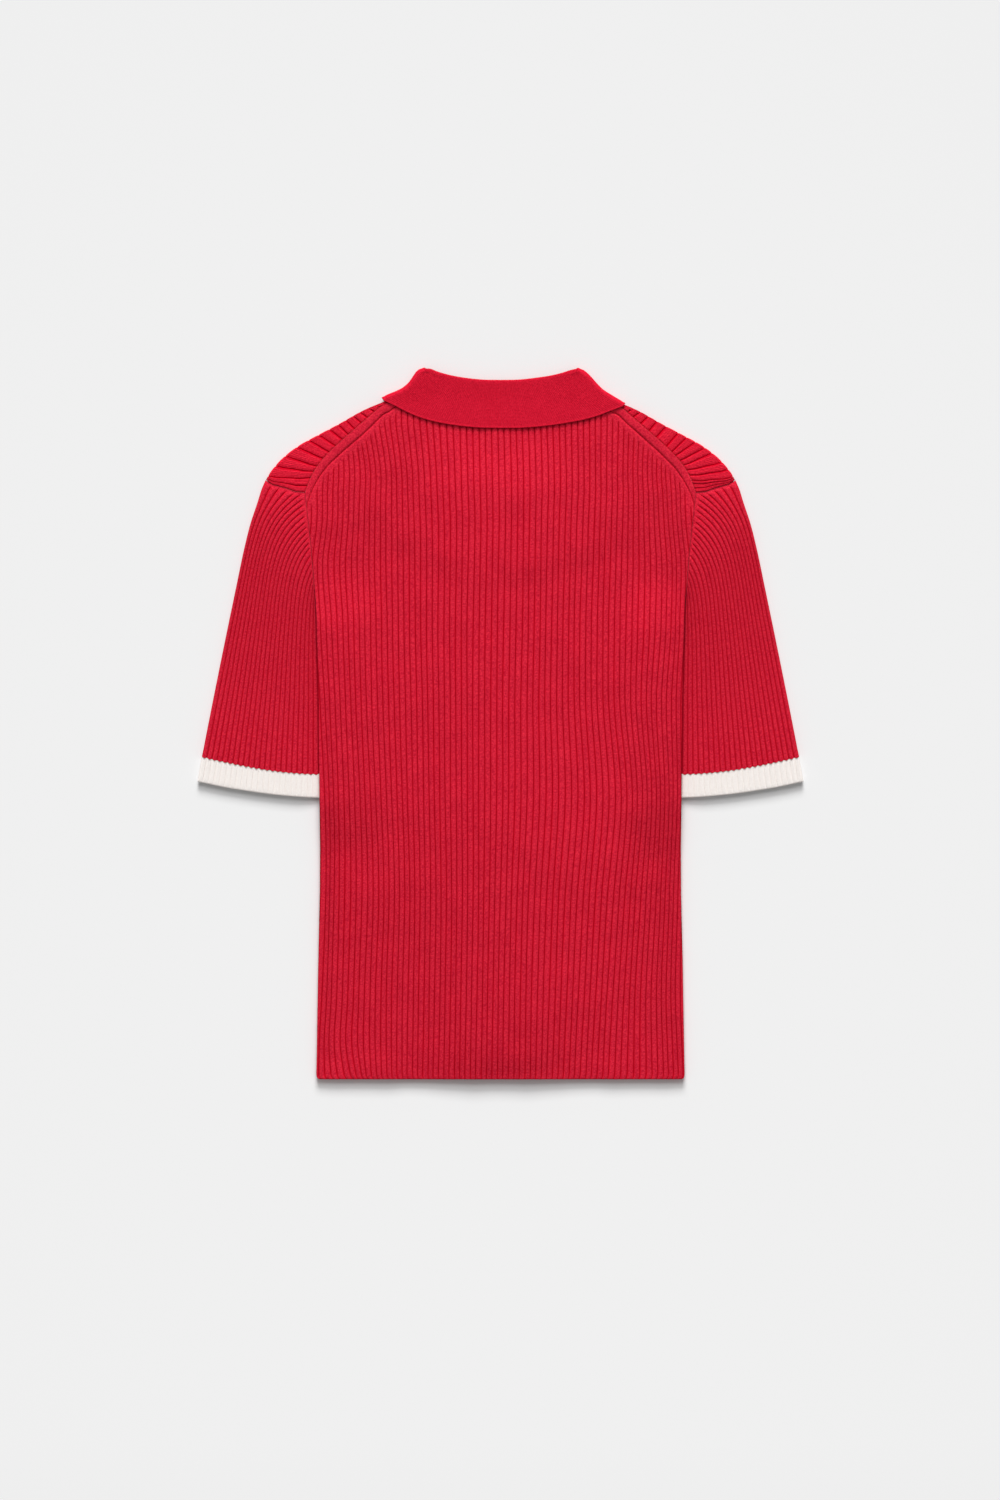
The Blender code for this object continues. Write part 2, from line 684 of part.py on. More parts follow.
def make_button(name, y, material):
    """A flat button with a raised rim, lying on its face."""
    low = float(collar_rise(0.0, y))
    radius, height = BUTTON_RADIUS, BUTTON_HEIGHT
    profile = ((0.0, 0.35), (0.6, 0.35), (0.8, 0.0), (1.0, 0.3), (1.0, 0.65), (0.9, 1.0), (0.0, 1.0))
    bm = bmesh.new()
    line = [bm.verts.new((reach * radius * MM, 0.0, up * height * MM)) for reach, up in profile]
    edges = [bm.edges.new(pair) for pair in zip(line, line[1:])]
    bmesh.ops.spin(
        bm, geom=line + edges, cent=(0, 0, 0), axis=(0, 0, 1), angle=math.tau, steps=16, use_merge=True
    )
    bmesh.ops.remove_doubles(bm, verts=bm.verts, dist=1e-6)
    bmesh.ops.dissolve_degenerate(bm, edges=bm.edges, dist=1e-7)
    bmesh.ops.recalc_face_normals(bm, faces=bm.faces)
    mesh = bpy.data.meshes.new(name)
    bm.to_mesh(mesh)
    bm.free()
    mesh.materials.append(material)
    thing = bpy.data.objects.new(name, mesh)
    thing.location = (0.0, y * MM, low * MM)
    bpy.context.scene.collection.objects.link(thing)
    return thing


def make_material(name, colour, roughness):
    material = bpy.data.materials.new(name)
    material.use_nodes = True
    shader = material.node_tree.nodes["Principled BSDF"]
    shader.inputs["Base Color"].default_value = (*colour, 1.0)
    shader.inputs["Roughness"].default_value = roughness
    shader.inputs["Metallic"].default_value = 0.0
    return material


def main():
    for thing in list(bpy.data.objects):
        bpy.data.objects.remove(thing)
    red = make_material("red_rib_knit", RED, 0.9)
    fine_red = make_material("red_fine_knit", RED, 0.9)
    cream = make_material("cream_rib_knit", CREAM, 0.9)
    plastic = make_material("red_button", BUTTON_RED, 0.35)
    make_back(red)
    for side, word in ((1, "right"), (-1, "left")):
        make_front(f"front_{word}", side, red)
        make_sleeve(f"sleeve_{word}", side, red)
        make_cuff(f"cuff_{word}", side, cream)
    make_collar(fine_red)
    make_band("buttonhole_band", 0.0, fine_red)
    make_band("button_band", BAND + GAP, fine_red)
    for number, y in enumerate(button_heights(), 1):
        make_button(f"button_{number}", float(y), plastic)


main()
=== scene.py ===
# %% [markdown]
# A short-sleeved rib-knit cardigan with a knitted collar, laid flat on its front.
#
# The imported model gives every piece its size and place, and this script its look. Cloth is made in mesh
# code, because a knitted panel is a net of points that follow its ribs. The buttons are modelled with
# Blender's own tools, as by hand.

# %% Load the frame
import json
import math
from itertools import product

import bmesh
import bpy
import numpy as np
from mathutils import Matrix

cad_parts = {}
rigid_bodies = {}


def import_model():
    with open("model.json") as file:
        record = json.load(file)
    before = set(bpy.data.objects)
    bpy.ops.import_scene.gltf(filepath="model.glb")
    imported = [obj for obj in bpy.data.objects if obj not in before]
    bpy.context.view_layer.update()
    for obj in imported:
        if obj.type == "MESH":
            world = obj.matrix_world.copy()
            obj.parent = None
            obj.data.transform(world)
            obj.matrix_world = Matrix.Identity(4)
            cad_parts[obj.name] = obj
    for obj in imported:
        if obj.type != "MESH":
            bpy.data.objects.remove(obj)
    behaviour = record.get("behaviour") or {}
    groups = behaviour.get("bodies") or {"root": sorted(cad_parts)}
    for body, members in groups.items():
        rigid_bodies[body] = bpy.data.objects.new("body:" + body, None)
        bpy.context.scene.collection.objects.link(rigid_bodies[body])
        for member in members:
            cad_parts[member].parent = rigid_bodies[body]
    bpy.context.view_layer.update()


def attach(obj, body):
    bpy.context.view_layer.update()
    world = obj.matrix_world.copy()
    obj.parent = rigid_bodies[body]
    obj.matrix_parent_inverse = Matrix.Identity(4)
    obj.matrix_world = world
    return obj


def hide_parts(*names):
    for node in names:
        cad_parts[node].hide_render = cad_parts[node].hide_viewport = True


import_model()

# %% [markdown]
# ## Sizes
#
# In millimetres, as in a knitter's pattern. A ply is 2.1 mm on a rib's crest and about half of that in a
# groove. +X points to the wearer's right, +Y to the collar, +Z up from the surface.

# %% Cloth and ribs
MM = 0.001
CLOTH = 1.4  # a ply's wall under its ribs
RIB = 0.7  # how far a crest stands above that
CREST = CLOTH + RIB
GROOVE = 0.95  # what is left of the ply in a groove
GAP = 0.3  # between two layers
PLY = CLOTH + GAP
TUBE = PLY + CREST  # a sleeve pressed flat
CLEAR = TUBE + GAP + 0.1  # how high the body stands over a sleeve

HEM_Y = -296.0
ARMHOLE_Y = 192.0  # its top
UNDERARM_Y = 103.5
BACK_RIBS = 66
SLEEVE_RIBS = 22
FRONT_HEM_RIBS = 30  # each front's ribs lower down
HEM_BAND = 20.0  # a faint line runs this far above the hem
SIDES = ((1, "right"), (-1, "left"))

# %% [markdown]
# ## The garment's lines
#
# Short tables hold the lines that a pattern cutter would draw, and the rows of cloth run between them.
# The fronts' ribs fold over the shoulder and meet the back at a seam that lies on the back.

# %% Lines of the body
SIDE = (  # y, half the body's width
    (-296, 151), (-295.2, 152.3), (-293.6, 153.1), (-291, 153.3), (-272, 152.9), (-200, 151.7),
    (-140, 150.3), (-102, 150.1), (-62, 150.5), (20, 151.2), (88, 153), (106, 154.2), (150, 157.8),
    (192, 162.5),
)
BACK_NECK = (  # x, y of the seam under the back collar
    (0, 255), (30, 255.8), (60, 258.6), (82, 263.2), (110, 272.4),
)
FRONT_ROWS = (  # left x, y on the neckline and right x, y on the armhole, from the chest up
    (15.3, 150, 155.6, 126), (15.3, 191.7, 159.6, 148), (45, 200.5, 166, 166), (70, 221, 176, 182),
    (86, 246, 187, 194),
)
SHOULDER = (  # place along it, then x, y on the back seam and x, y on the shoulder's fold
    (0, 94.3, 267, 94.6, 268.6), (1.5, 99.6, 263.7, 102.6, 265.7), (4, 110, 254.7, 116.7, 259.6),
    (6.5, 126, 240.9, 135, 249.4), (8.5, 136.6, 231.5, 151.8, 240.6), (10.5, 147.3, 220.8, 169.6, 230.6),
    (12, 153.3, 213, 181.5, 221.3), (13.5, 158.3, 204, 190.5, 211.2), (15, 162.6, 192.4, 195.6, 203),
)
RIGHT_FAN = (  # rib number and the places of its line on the seam and on the fold
    (0, 0, 0), (4, 4, 4), (7, 7.1, 6.9), (8, 8.75, 8.1), (9, 9.55, 8.9), (10, 10.1, 9.7),
    (11, 10.9, 10.6), (12, 11.65, 11.3), (13, 12.35, 12.5), (14, 13.1, 13.4), (15, 13.75, 14.5),
    (16, 14.1, 14.75), (17, 14.55, 14.9), (18, 15, 15),
)
LEFT_FAN = (
    (0, 0, 0), (0.9, 1.5, 1.5), (2.9, 4, 4), (6, 6.6, 6.55), (7, 7.5, 7.45), (8, 8.6, 8.5),
    (9, 9.55, 9.4), (10, 10.55, 10.5), (11, 11.8, 11.7), (12, 12.55, 12.95), (13, 13.4, 14.4),
    (14, 14.3, 14.8), (15, 15, 15),
)
CAP_SEAM = (  # share of the way in from the fold, then x, y where the sleeve's top meets the shoulder
    (0, 195.6, 203), (0.2, 189.6, 199.2), (0.5, 179, 196.3), (0.75, 171, 193.2), (1, 162.6, 192.4),
)

# %% Lines of the sleeves and cuffs
OUTER_EDGE = (  # y, x of the sleeve's outer fold
    (-50, 252.7), (-28, 248.6), (16.3, 240), (76.3, 227.9), (116.3, 219.6), (146.3, 213.3),
    (166.3, 208.3), (186.3, 201.7), (194.6, 199.2), (203, 195.6),
)
BACK_STARTS = (  # rib number and y where it leaves the armhole, up to its top
    (0, 103.5), (3, 122), (7, 147), (12, 169), (16.8, 191.8),
)
CUFF_SEAM = (  # x, y of the line between sleeve and cuff
    (128, -42.6), (163, -42.3), (195, -39), (211, -36.3), (231, -32.3), (250, -28),
)
CUFF_END = (
    (128, -62.2), (163, -61.4), (195, -58.5), (211, -56.2), (231, -52.9), (254, -47.9),
)
SEAM_EASE = 20.0  # how fast a sleeve rib turns from the armhole to run down the sleeve
TUCK = 20.0  # how far the sleeve's inner fold lies under the body

# %% Lines of the collar and bands
COLLAR = 1.5  # its cloth
COLLAR_MID = 3.35  # the height half-way between the back and the front collar
STAND_OUT = 0.9  # how far the middle of the stand's cloth lies from that height
LEAF_OUT = (3.3, 2.6)  # and the leaf's, on the back and on the front
BACK_STAND = ((0, 255.4), (30, 256.2), (60, 259.2), (80, 263.6), (92.4, 268.4))
RIGHT_FOLD = ((0, 284), (16, 284.4), (30, 286), (45, 288.5), (53, 290.6), (60, 292.9), (64.4, 293.9))
LEFT_FOLD = ((0, 284), (16, 284.4), (30, 286), (45, 288.9), (54, 291.6), (60.4, 294), (63.4, 294.1))
RIGHT_LEAF = (
    (0, 245.6), (18, 245.8), (36.5, 247.3), (55.8, 250), (69.2, 252.6), (81.5, 256.2), (92, 260.4),
    (102.4, 264.4),
)
LEFT_LEAF = (  # it lies a little higher at the shoulder
    (0, 245.6), (18, 246), (36.5, 247.8), (54, 250.8), (67.1, 254.5), (77.5, 259.2), (88, 265),
    (98, 269.9),
)
FRONT_STAND = ((92.4, 268.4), (83, 246.5), (66, 221), (42, 203.4), (18, 195.5), (4, 194.5))
FRONT_FOLD = ((61.5, 270), (52, 246), (36, 228), (18, 218), (8, 215.5))
FRONT_LEAF = (  # from the back leaf's end
    (104, 240), (101, 212), (90, 190), (76, 175.5), (58, 168.5),
)
NECK_OUT = (0.583, 0.812)  # the way the collar bulges where it turns round the neck
NECK_BOW = (  # share of the leaf from fold to edge, and how far out that turn bows, right and left
    (0, -1.6, -1.6), (0.05, -0.7, -0.7), (0.15, -0.4, -0.8), (0.25, -1, -2.4), (0.4, -2.4, -4.6),
    (0.55, -3.3, -5.2), (0.7, -2.6, -4.3), (0.85, -1.8, -2.8), (1, -0.8, -1.8),
)

BAND = 1.5
BAND_HALF = 15.0
BUTTON_HEIGHTS = np.linspace(-266.0, 176.0, 7)
BUTTON_RADIUS = 5.5
BUTTON_HEIGHT = 1.8
BUMP = BUTTON_HEIGHT + GAP  # the bands rise over each button
BUMP_FLAT = 7.0
BUMP_FOOT = 15.0

# %% [markdown]
# ## Reading a line
#
# `through` reads a table as a smooth curve, `straight` as a bent wire and `along` by the share of its
# length. `soft` is the smooth step of every fade.

# %% Helpers for lines
def soft(t):
    """A step from 0 to 1 that starts and ends level."""
    t = np.clip(t, 0.0, 1.0)
    return t * t * (3 - 2 * t)


def through(table, at):
    """The smooth line through a table's rows, read at values of its first column."""
    table = np.array(table, float)
    key, value = table[:, 0], table[:, 1:]
    slope = np.gradient(value, key, axis=0)
    at = np.clip(np.asarray(at, float), key[0], key[-1])
    low = np.clip(np.searchsorted(key, at, side="right") - 1, 0, len(key) - 2)
    step = (key[low + 1] - key[low])[..., None]
    t = (at - key[low])[..., None] / step
    start = (2 * t**3 - 3 * t**2 + 1) * value[low] + (t**3 - 2 * t**2 + t) * step * slope[low]
    return start + (3 * t**2 - 2 * t**3) * value[low + 1] + (t**3 - t**2) * step * slope[low + 1]


def lengths(points):
    """How far along a line each of its points lies."""
    return np.append(0.0, np.cumsum(np.linalg.norm(np.diff(points, axis=0), axis=1)))


def along(points, share):
    """The smooth plan line through a few points, read by the share of its length."""
    key = lengths(points)
    return through(np.column_stack([key / key[-1], points]), share)


def straight(table, at):
    """The same with straight lines from row to row."""
    table = np.array(table, float)
    return np.stack([np.interp(at, table[:, 0], column) for column in table.T[1:]], axis=-1)


def body_edge(y):
    return np.interp(y, *np.array(SIDE).T)


print("half the chest:", float(body_edge(UNDERARM_Y)), "mm")

# %% [markdown]
# ## How high each layer lies
#
# The garment is a stack: buttons and front collar on the surface, then the fronts, the back and the back
# collar. Each layer is lifted by what lies under it. On top come the low swells of a garment smoothed by
# hand.

# %% Heights
def collar_rise(x, y, early=0.0):
    """The front collar lies under the front panels and lifts them."""
    reach = np.hypot(x / 112, (y - 240) / 92)
    return (COLLAR + GAP) * (1 - soft((reach - 1 - early) / 0.35))


def sleeve_rise(x, y, early=0.0):
    """The body's side climbs over the sleeve that is tucked under it."""
    down = soft((122 - y) / 48) * soft((y + 118) / 56)
    return CLEAR * down * soft((np.abs(x) - 92 + early) / 38)


def front_under(x, y):
    """The underside of the fronts. The left one rises to its band, which lies on the right one's."""
    band = (BAND + GAP) * soft((x + 62) / 44) * (x < 0)
    return collar_rise(x, y) + sleeve_rise(x, y) + band


def back_under(x, y):
    """The underside of the back, over the fronts and, in the middle, the buttoned bands."""
    bands = 2 * (BAND + GAP) + BUMP - PLY + 0.05
    across = soft((82 - np.abs(x)) / 65)
    down = (0.5 + 0.5 * soft((y - HEM_Y) / 22)) * soft((242 - y) / 55)
    chest = 0.09 * soft((222 - y) / 30)
    return PLY + collar_rise(x, y, chest) + sleeve_rise(x, y, 8.0) + bands * across * down


def bump(x, y):
    """The bands rise over each button."""
    across = soft((BUMP_FOOT - np.abs(x)) / (BUMP_FOOT - BUMP_FLAT))
    reach = np.min([np.abs(y - at) for at in BUTTON_HEIGHTS], axis=0)
    return BUMP * across * soft((BUMP_FOOT - reach) / (BUMP_FOOT - BUMP_FLAT))


# %% Swells and creases
BACK_SWELLS = (  # x, y of the middle, half its length and width, the turn of its length in degrees, height
    (-105, -138, 62, 34, 8, 1.3), (88, -118, 70, 30, -14, 0.9), (40, -236, 60, 30, 12, 0.9),
    (-60, -70, 80, 26, -6, 0.6), (-128, 172, 26, 30, 0, 1.5), (130, 170, 28, 32, 0, 1.3),
    (-20, 112, 90, 30, 5, 0.7), (70, 60, 60, 26, -20, 0.6), (-70, 30, 70, 24, 12, 0.5),
    (10, 196, 60, 22, 0, 0.5), (-110, -298, 46, 26, 0, 1.1), (110, -298, 46, 26, 0, 1.1),
)
RIPPLES = (  # wave length across and up the cloth, phase, height: the small unevenness of washed knitwear
    (61, 47, 0.4, 0.10), (-38, 83, 1.9, 0.09), (97, -29, 3.1, 0.08), (23, 31, 5, 0.05),
)


def swells(table, x, y):
    """The height that a table's swells and the ripples add."""
    lift = np.zeros(np.broadcast(x, y).shape)
    for middle_x, middle_y, length, width, turn, height in table:
        turn = math.radians(turn)
        dx, dy = x - middle_x, y - middle_y
        run = (dx * math.cos(turn) + dy * math.sin(turn)) / length
        off = (dy * math.cos(turn) - dx * math.sin(turn)) / width
        lift = lift + height * np.exp(-(run**2) - off**2)
    for wide, tall, phase, height in RIPPLES:
        lift = lift + height * (1 + np.sin(math.tau * (x / wide + y / tall) + phase))
    return lift


# %% [markdown]
# ## Ribs
#
# Across a rib the surface is half an ellipse, so two ribs meet in a sharp groove, as two rows of knit
# stitches do with a purl stitch drawn back between them. Each rib wanders and swells slightly.

# %% Rib shape
PHASES = (0.0, 0.06, 0.16, 0.32, 0.5, 0.68, 0.84, 0.94)


def rib_numbers(count):
    """Points across some ribs: whole numbers are grooves, halves are crests."""
    return np.append(np.add.outer(np.arange(count), PHASES).ravel(), float(count))


def rib_height(number):
    """0 in a groove and 1 on a crest."""
    return np.sqrt(np.clip(1 - (2 * (number % 1) - 1) ** 2, 0.0, 1.0))


def wander(number, run):
    """How far a rib line strays to the side, in millimetres."""
    return 0.11 * np.sin(2.4 * number + run / 33) + 0.07 * np.sin(5.3 * number - run / 51 + 1)


def unevenness(number, run):
    """How full each rib is along its way, around 1."""
    return 1 + 0.05 * np.sin(3.7 * number + run / 27) + 0.04 * np.sin(7.9 * number - run / 11)


# %% [markdown]
# ## From points to cloth
#
# A `Cloth` closes nets of points into one shell with a real wall. The UV map `knit` (rib number,
# millimetres along the rib) and the attribute `ribbed` tell the materials each point's place in the
# knitting.

# %% The cloth builder
def add_object(name, data):
    thing = bpy.data.objects.new(name, data)
    bpy.context.scene.collection.objects.link(thing)
    return thing


def lay(x, y, z):
    """One array of points from its three coordinates."""
    return np.stack(np.broadcast_arrays(x, y, z), axis=-1).astype(float)


def raised(plan, z):
    """Plan points at a height."""
    return lay(plan[..., 0], plan[..., 1], z)


class Cloth:
    """Nets of points that become one closed mesh."""

    def __init__(self):
        self.points = []
        self.knit = []
        self.faces = []

    def net(self, points, ribs, run, ribbed, closed=False):
        """Adds rows and columns of points with their faces, and returns the points' numbers."""
        shape = points.shape[:2]
        numbers = sum(map(len, self.points)) + np.arange(shape[0] * shape[1]).reshape(shape)
        knit = np.stack([np.broadcast_to(value, shape) for value in (ribs, run, ribbed)], axis=-1)
        self.points.append(points.reshape(-1, 3))
        self.knit.append(knit.reshape(-1, 3))
        ring = np.hstack([numbers, numbers[:, :1]]) if closed else numbers
        quads = np.stack([ring[:-1, :-1], ring[:-1, 1:], ring[1:, 1:], ring[1:, :-1]], axis=-1)
        self.faces.extend(quads.reshape(-1, 4).tolist())
        return ring

    def join(self, a, b):
        """Faces between two borders with different numbers of points."""
        key_a, key_b = np.linspace(0.0, 1.0, len(a)), np.linspace(0.0, 1.0, len(b))
        i = j = 0
        while i < len(a) - 1 or j < len(b) - 1:
            if j == len(b) - 1 or (i < len(a) - 1 and key_a[i + 1] <= key_b[j + 1] + 1e-9):
                self.faces.append((int(a[i]), int(a[i + 1]), int(b[j])))
                i += 1
            else:
                self.faces.append((int(a[i]), int(b[j + 1]), int(b[j])))
                j += 1

    def close_panel(self, outer, inner):
        """Joins an outer and an inner net on all four sides."""
        self.close_tube(outer, inner)
        self.close_tube(outer.T, inner.T)

    def close_tube(self, outer, inner):
        """Joins an outer and an inner ring at both ends."""
        self.join(outer[0], inner[0])
        self.join(outer[-1], inner[-1])

    def build(self, name):
        """Makes the mesh and its object, in metres, with all faces outwards."""
        mesh = bpy.data.meshes.new(name)
        mesh.from_pydata((np.concatenate(self.points) * MM).tolist(), [], self.faces)
        bm = bmesh.new()
        bm.from_mesh(mesh)
        bmesh.ops.recalc_face_normals(bm, faces=bm.faces)
        bm.to_mesh(mesh)
        bm.free()
        knit = np.concatenate(self.knit)
        corner = np.empty(len(mesh.loops), np.int32)
        mesh.loops.foreach_get("vertex_index", corner)
        mesh.uv_layers.new(name="knit").data.foreach_set("uv", knit[corner, :2].ravel())
        mesh.attributes.new("ribbed", "FLOAT", "POINT").data.foreach_set("value", knit[:, 2])
        mesh.shade_smooth()
        mesh.set_sharp_from_angle(angle=math.radians(62))
        triangles = sum(len(face) - 2 for face in self.faces)
        print(f"{name}: {len(mesh.vertices)} points, {triangles} triangles")
        return add_object(name, mesh)


pieces = {}

# %% [markdown]
# ## The shoulder's ribs
#
# The fronts' ribs fold over the shoulder and end on the back. `shoulder_plan` gives this flap in plan: u
# counts from neck to sleeve, w from the fold in to the seam. The ribs fan out, each shoulder's in its own
# way, so a rib line may have one place on the seam and another on the fold.

# %% Shoulder flap and back edge
def shoulder_plan(u, w, on_fold=None):
    """The flap in plan, for arrays of u and w of one shape. on_fold is u on the fold, where it differs."""
    on_fold = u if on_fold is None else on_fold
    seam = through(SHOULDER, u * SHOULDER[-1][0])[..., :2]
    fold = through(SHOULDER, on_fold * SHOULDER[-1][0])[..., 2:]
    end_seam, end_fold = np.array(SHOULDER[-1][1:3]), np.array(SHOULDER[-1][3:])
    w = np.asarray(w, float)[..., None]
    cap = straight(CAP_SEAM, w[..., 0])
    bow = cap - (end_fold * (1 - w) + end_seam * w)
    at = np.asarray(on_fold)[..., None] * (1 - w) + np.asarray(u)[..., None] * w
    return fold * (1 - w) + seam * w + bow * at**4


def outward(line):
    """Unit normals that point out over the shoulder."""
    run = np.gradient(line, axis=0)
    run /= np.linalg.norm(run, axis=1)[:, None]
    return np.column_stack([-run[:, 1], run[:, 0]])


def back_top(x):
    """The y of the back's upper edge: the shoulder seams and, between them, the neck seam."""
    u = np.linspace(0.0, 1.0, 121)
    seam = shoulder_plan(u, np.ones(121))
    seam = seam - outward(seam) * GAP * 0.6
    shoulder = np.interp(np.abs(x), *seam.T)
    neck = through(BACK_NECK, np.abs(x))[..., 0] - GAP
    return np.minimum(shoulder, neck)


# %% [markdown]
# ## The back
#
# One panel of 66 ribs, which sway as a hand smoothed them and lean in low on the left. A plain fashioned
# band runs along each shoulder seam, beside a narrow groove. The hem ends in one firm course.

# %% Rows of the back
SWAY_PLACES = (-1, -0.93, -0.85, -0.73, -0.45, -0.15, 0.15, 0.4, 0.62, 0.85, 1)  # across the back
SWAY = (  # y, then how far right of an even spacing the rib lines run at each of those places
    (-296, 2, 3.5, 5.8, 4.4, 0.5, -2, -3, -3.5, -3, 1, -1),
    (-270, 2, 0.8, 1.2, 2.2, 0.7, -1.6, -2.6, -2.2, -1.6, 0.8, -1.6),
    (-230, 3.5, 2, 2, 2, 1, -1, -2, 0, 1, 0.5, -2.5),
    (-147, 5, 2.5, 2.9, 3.5, 1.5, 0, 0.5, 4.5, 7.5, 5.5, 0.5),
    (-64, 4.5, 2.5, 2.1, 1.5, 0, 0, 4.5, 10.5, 14, 9, 3),
    (20, 1, 0, -0.6, -1.5, -1, 0, 4, 6.5, 7.5, 5.5, 3),
    (86, -1, -1.5, -1.5, -1.5, -1.5, 0.5, 5, 6, 7, 8, 3.5),
    (136, 0.5, -1, -0.8, -0.5, 0, 2, 5, 6, 6, 5.5, 1), (170, 7.5, 6, 4.8, 3, 1, 3, 5, 5.5, 4.5, 0, -6),
    (203, 10.5, 9, 7.8, 6, 1, 2.5, 5, 5.5, 3, -4, -10),
    (250, 10, 8, 4.8, 0, -3.5, 1.5, 3.5, 5, 4, -2, -8),
)
EDGE_RIBS = 3  # on each side, ribs that begin at the armhole or run out over the side
PINCH = 0.012  # how close the columns of a rib lie that is out of sight
SEAM_TOP = 94.3  # x where the shoulder seam goes under the collar
SEAM_SLOPE = 0.8
RIBS_START = 13.5  # how far from the seam the ribs are whole
RIBS_END = 9.6
BAND_LINE = 6.8  # the groove beside the plain band
SEAM_INSETS = (12.6, 11.8, 11, 10.3, 9.7, 9.1, 8.4, 7.7, 7.2, 6.8, 6.4, 5.9, 5.2, 4.2, 3, 1.9, 1, 0.3, 0)
BODY_STEP = 4.7


def rib_lines(number, y):
    """The x of the back's rib lines and of their points: the same, but never past the body's edge."""
    c = 2 * number / BACK_RIBS - 1
    share = through(np.column_stack([SWAY_PLACES, np.eye(len(SWAY_PLACES))]), c)
    line = c * body_edge(y) + (share * through(SWAY, y)).sum(axis=-1) + wander(number, y)
    count = np.arange(len(number))
    x = np.clip(line, PINCH * count - body_edge(y), body_edge(y) - PINCH * count[::-1])
    return line, x


def back_rows(number):
    """Each row's y, from the hem up, and how far its points are from the line of the shoulder seam, which
    runs straight on over the neck."""
    x = rib_lines(number, ARMHOLE_Y)[1]
    for _ in range(8):
        top = back_top(x)
        x = rib_lines(number, top)[1]
    past = np.maximum(SEAM_TOP - np.abs(x), 0.0)
    seam = np.where(past > 0.0, back_top(np.array(SEAM_TOP)) + SEAM_SLOPE * past, top)
    steep = np.minimum(np.hypot(1.0, np.gradient(seam, np.abs(x))), 2.2)
    level = SIDE[-2][0]
    lower = HEM_Y + np.array([0.0, 0.3, 0.9, 1.8, 2.8])
    lower = np.append(lower, np.arange(HEM_Y + 5, level, BODY_STEP))
    rows = [(np.full(len(x), y), np.full(len(x), 99.0)) for y in lower]

    def inset_row(inset):
        row = np.minimum(seam - inset * steep, top - 0.03 * inset)
        return np.maximum(row, level + (top - level) * (0.9 - inset / 30))

    start = inset_row(RIBS_START)
    shares = np.linspace(0.0, 1.0, 22)
    rows += [(level + (start - level) * share, np.full(len(x), 99.0)) for share in shares]
    for inset in SEAM_INSETS:
        row = inset_row(inset)
        rows.append((row, np.maximum(inset, (seam - row) / steep)))
    return np.array([y for y, _ in rows]), np.array([inset for _, inset in rows])


# %% Relief of the back
def seam_relief(inset):
    """The plain band along a seam, as a share of the crest's height: domed, with a groove beside it."""
    band = 0.62 + 0.38 * np.sqrt(np.clip(1 - ((inset - 3.1) / 3.4) ** 2, 0.0, 1.0))
    beyond = 0.55 + 0.25 * soft((inset - BAND_LINE) / 2)
    groove = 0.75 * np.exp(-(((inset - BAND_LINE) / 0.6) ** 2))
    return np.where(inset < BAND_LINE, band, beyond) - groove


def hem_relief(y, relief):
    """Firm ribs below the hem line, and one flat course at the very edge."""
    above = y - HEM_Y
    line = 0.22 * np.exp(-(((above - HEM_BAND) / 1.1) ** 2))
    course = soft((3.2 - above) / 1.2)
    relief = relief * (1 - 0.55 * course) + 0.45 * course
    return relief - line - 0.5 * (1 - soft((above + 0.35) / 1))


def make_back():
    number = rib_numbers(BACK_RIBS + 2 * EDGE_RIBS) - EDGE_RIBS
    y, inset = back_rows(number)
    line, x = rib_lines(number, y)
    number = number + (x - line) / np.gradient(line, number, axis=1)
    ribbed = soft((inset - RIBS_END) / (RIBS_START - RIBS_END))
    relief = rib_height(number) * unevenness(number, y) * ribbed + seam_relief(inset) * (1 - ribbed)
    relief = hem_relief(y, relief)
    under = back_under(x, y) + swells(BACK_SWELLS, x, y)
    cloth = Cloth()
    outer = cloth.net(lay(x, y, under + GROOVE + (CREST - GROOVE) * relief), number, y, ribbed)
    inner = cloth.net(lay(x, y, under)[:, ::8], number[:, ::8], y[:, ::8], 0.0)
    cloth.close_panel(outer, inner)
    return cloth.build("back_panel")


pieces["back"] = make_back()

# %% [markdown]
# ## The fronts
#
# Each front lies face down under the back, and only its flap over the shoulder shows from above. The
# lower face rests on the surface: its crests are level with it and its grooves are drawn up into the
# cloth.

# %% Rows of a front
FRONT_COLUMNS = 6 * FRONT_HEM_RIBS
FRONT_STEP = 6.0
FOLD_TURNS = (-90, -66, -42, -20, 0, 20, 42, 66, 90)
FLAP_SHARES = (0.06, 0.13, 0.2, 0.28, 0.36, 0.44, 0.52, 0.6, 0.68, 0.76, 0.83, 0.89, 0.94, 0.975, 1)
FOLD_DEPTH = 0.55  # how deep the grooves still are where the cloth is stretched round the fold
PURL_AND_SHADE = 1.3  # where the ribs are stretched over the shoulder, the colour is drawn towards the groove colour: painted shade on the flap that the lights catch, and the dark purl stitches that show between the others
FLAT_GROOVE = 0.45  # how deep the grooves are on a face that rests on the surface
FOLD_RADIUS = (TUBE - RIB) / 2
FOLD_WALL = CREST + 0.05


def front_levels(u, fold):
    """Rows of a front's lower layer, from the hem to just inside the shoulder's fold."""
    edge = BAND_HALF + GAP
    rows = [np.column_stack([edge + (half - edge) * u, np.full(len(u), y)]) for y, half in SIDE[:-2]]
    chord = fold[0] + (fold[-1] - fold[0]) * u[:, None]
    for left_x, left_y, right_x, right_y in FRONT_ROWS:
        line = np.column_stack([left_x + (right_x - left_x) * u, left_y + (right_y - left_y) * u])
        rows.append(line + (fold - chord) * soft((left_y - 150) / 110))
    rows.append(fold - outward(fold) * (FOLD_RADIUS + RIB))
    return rows


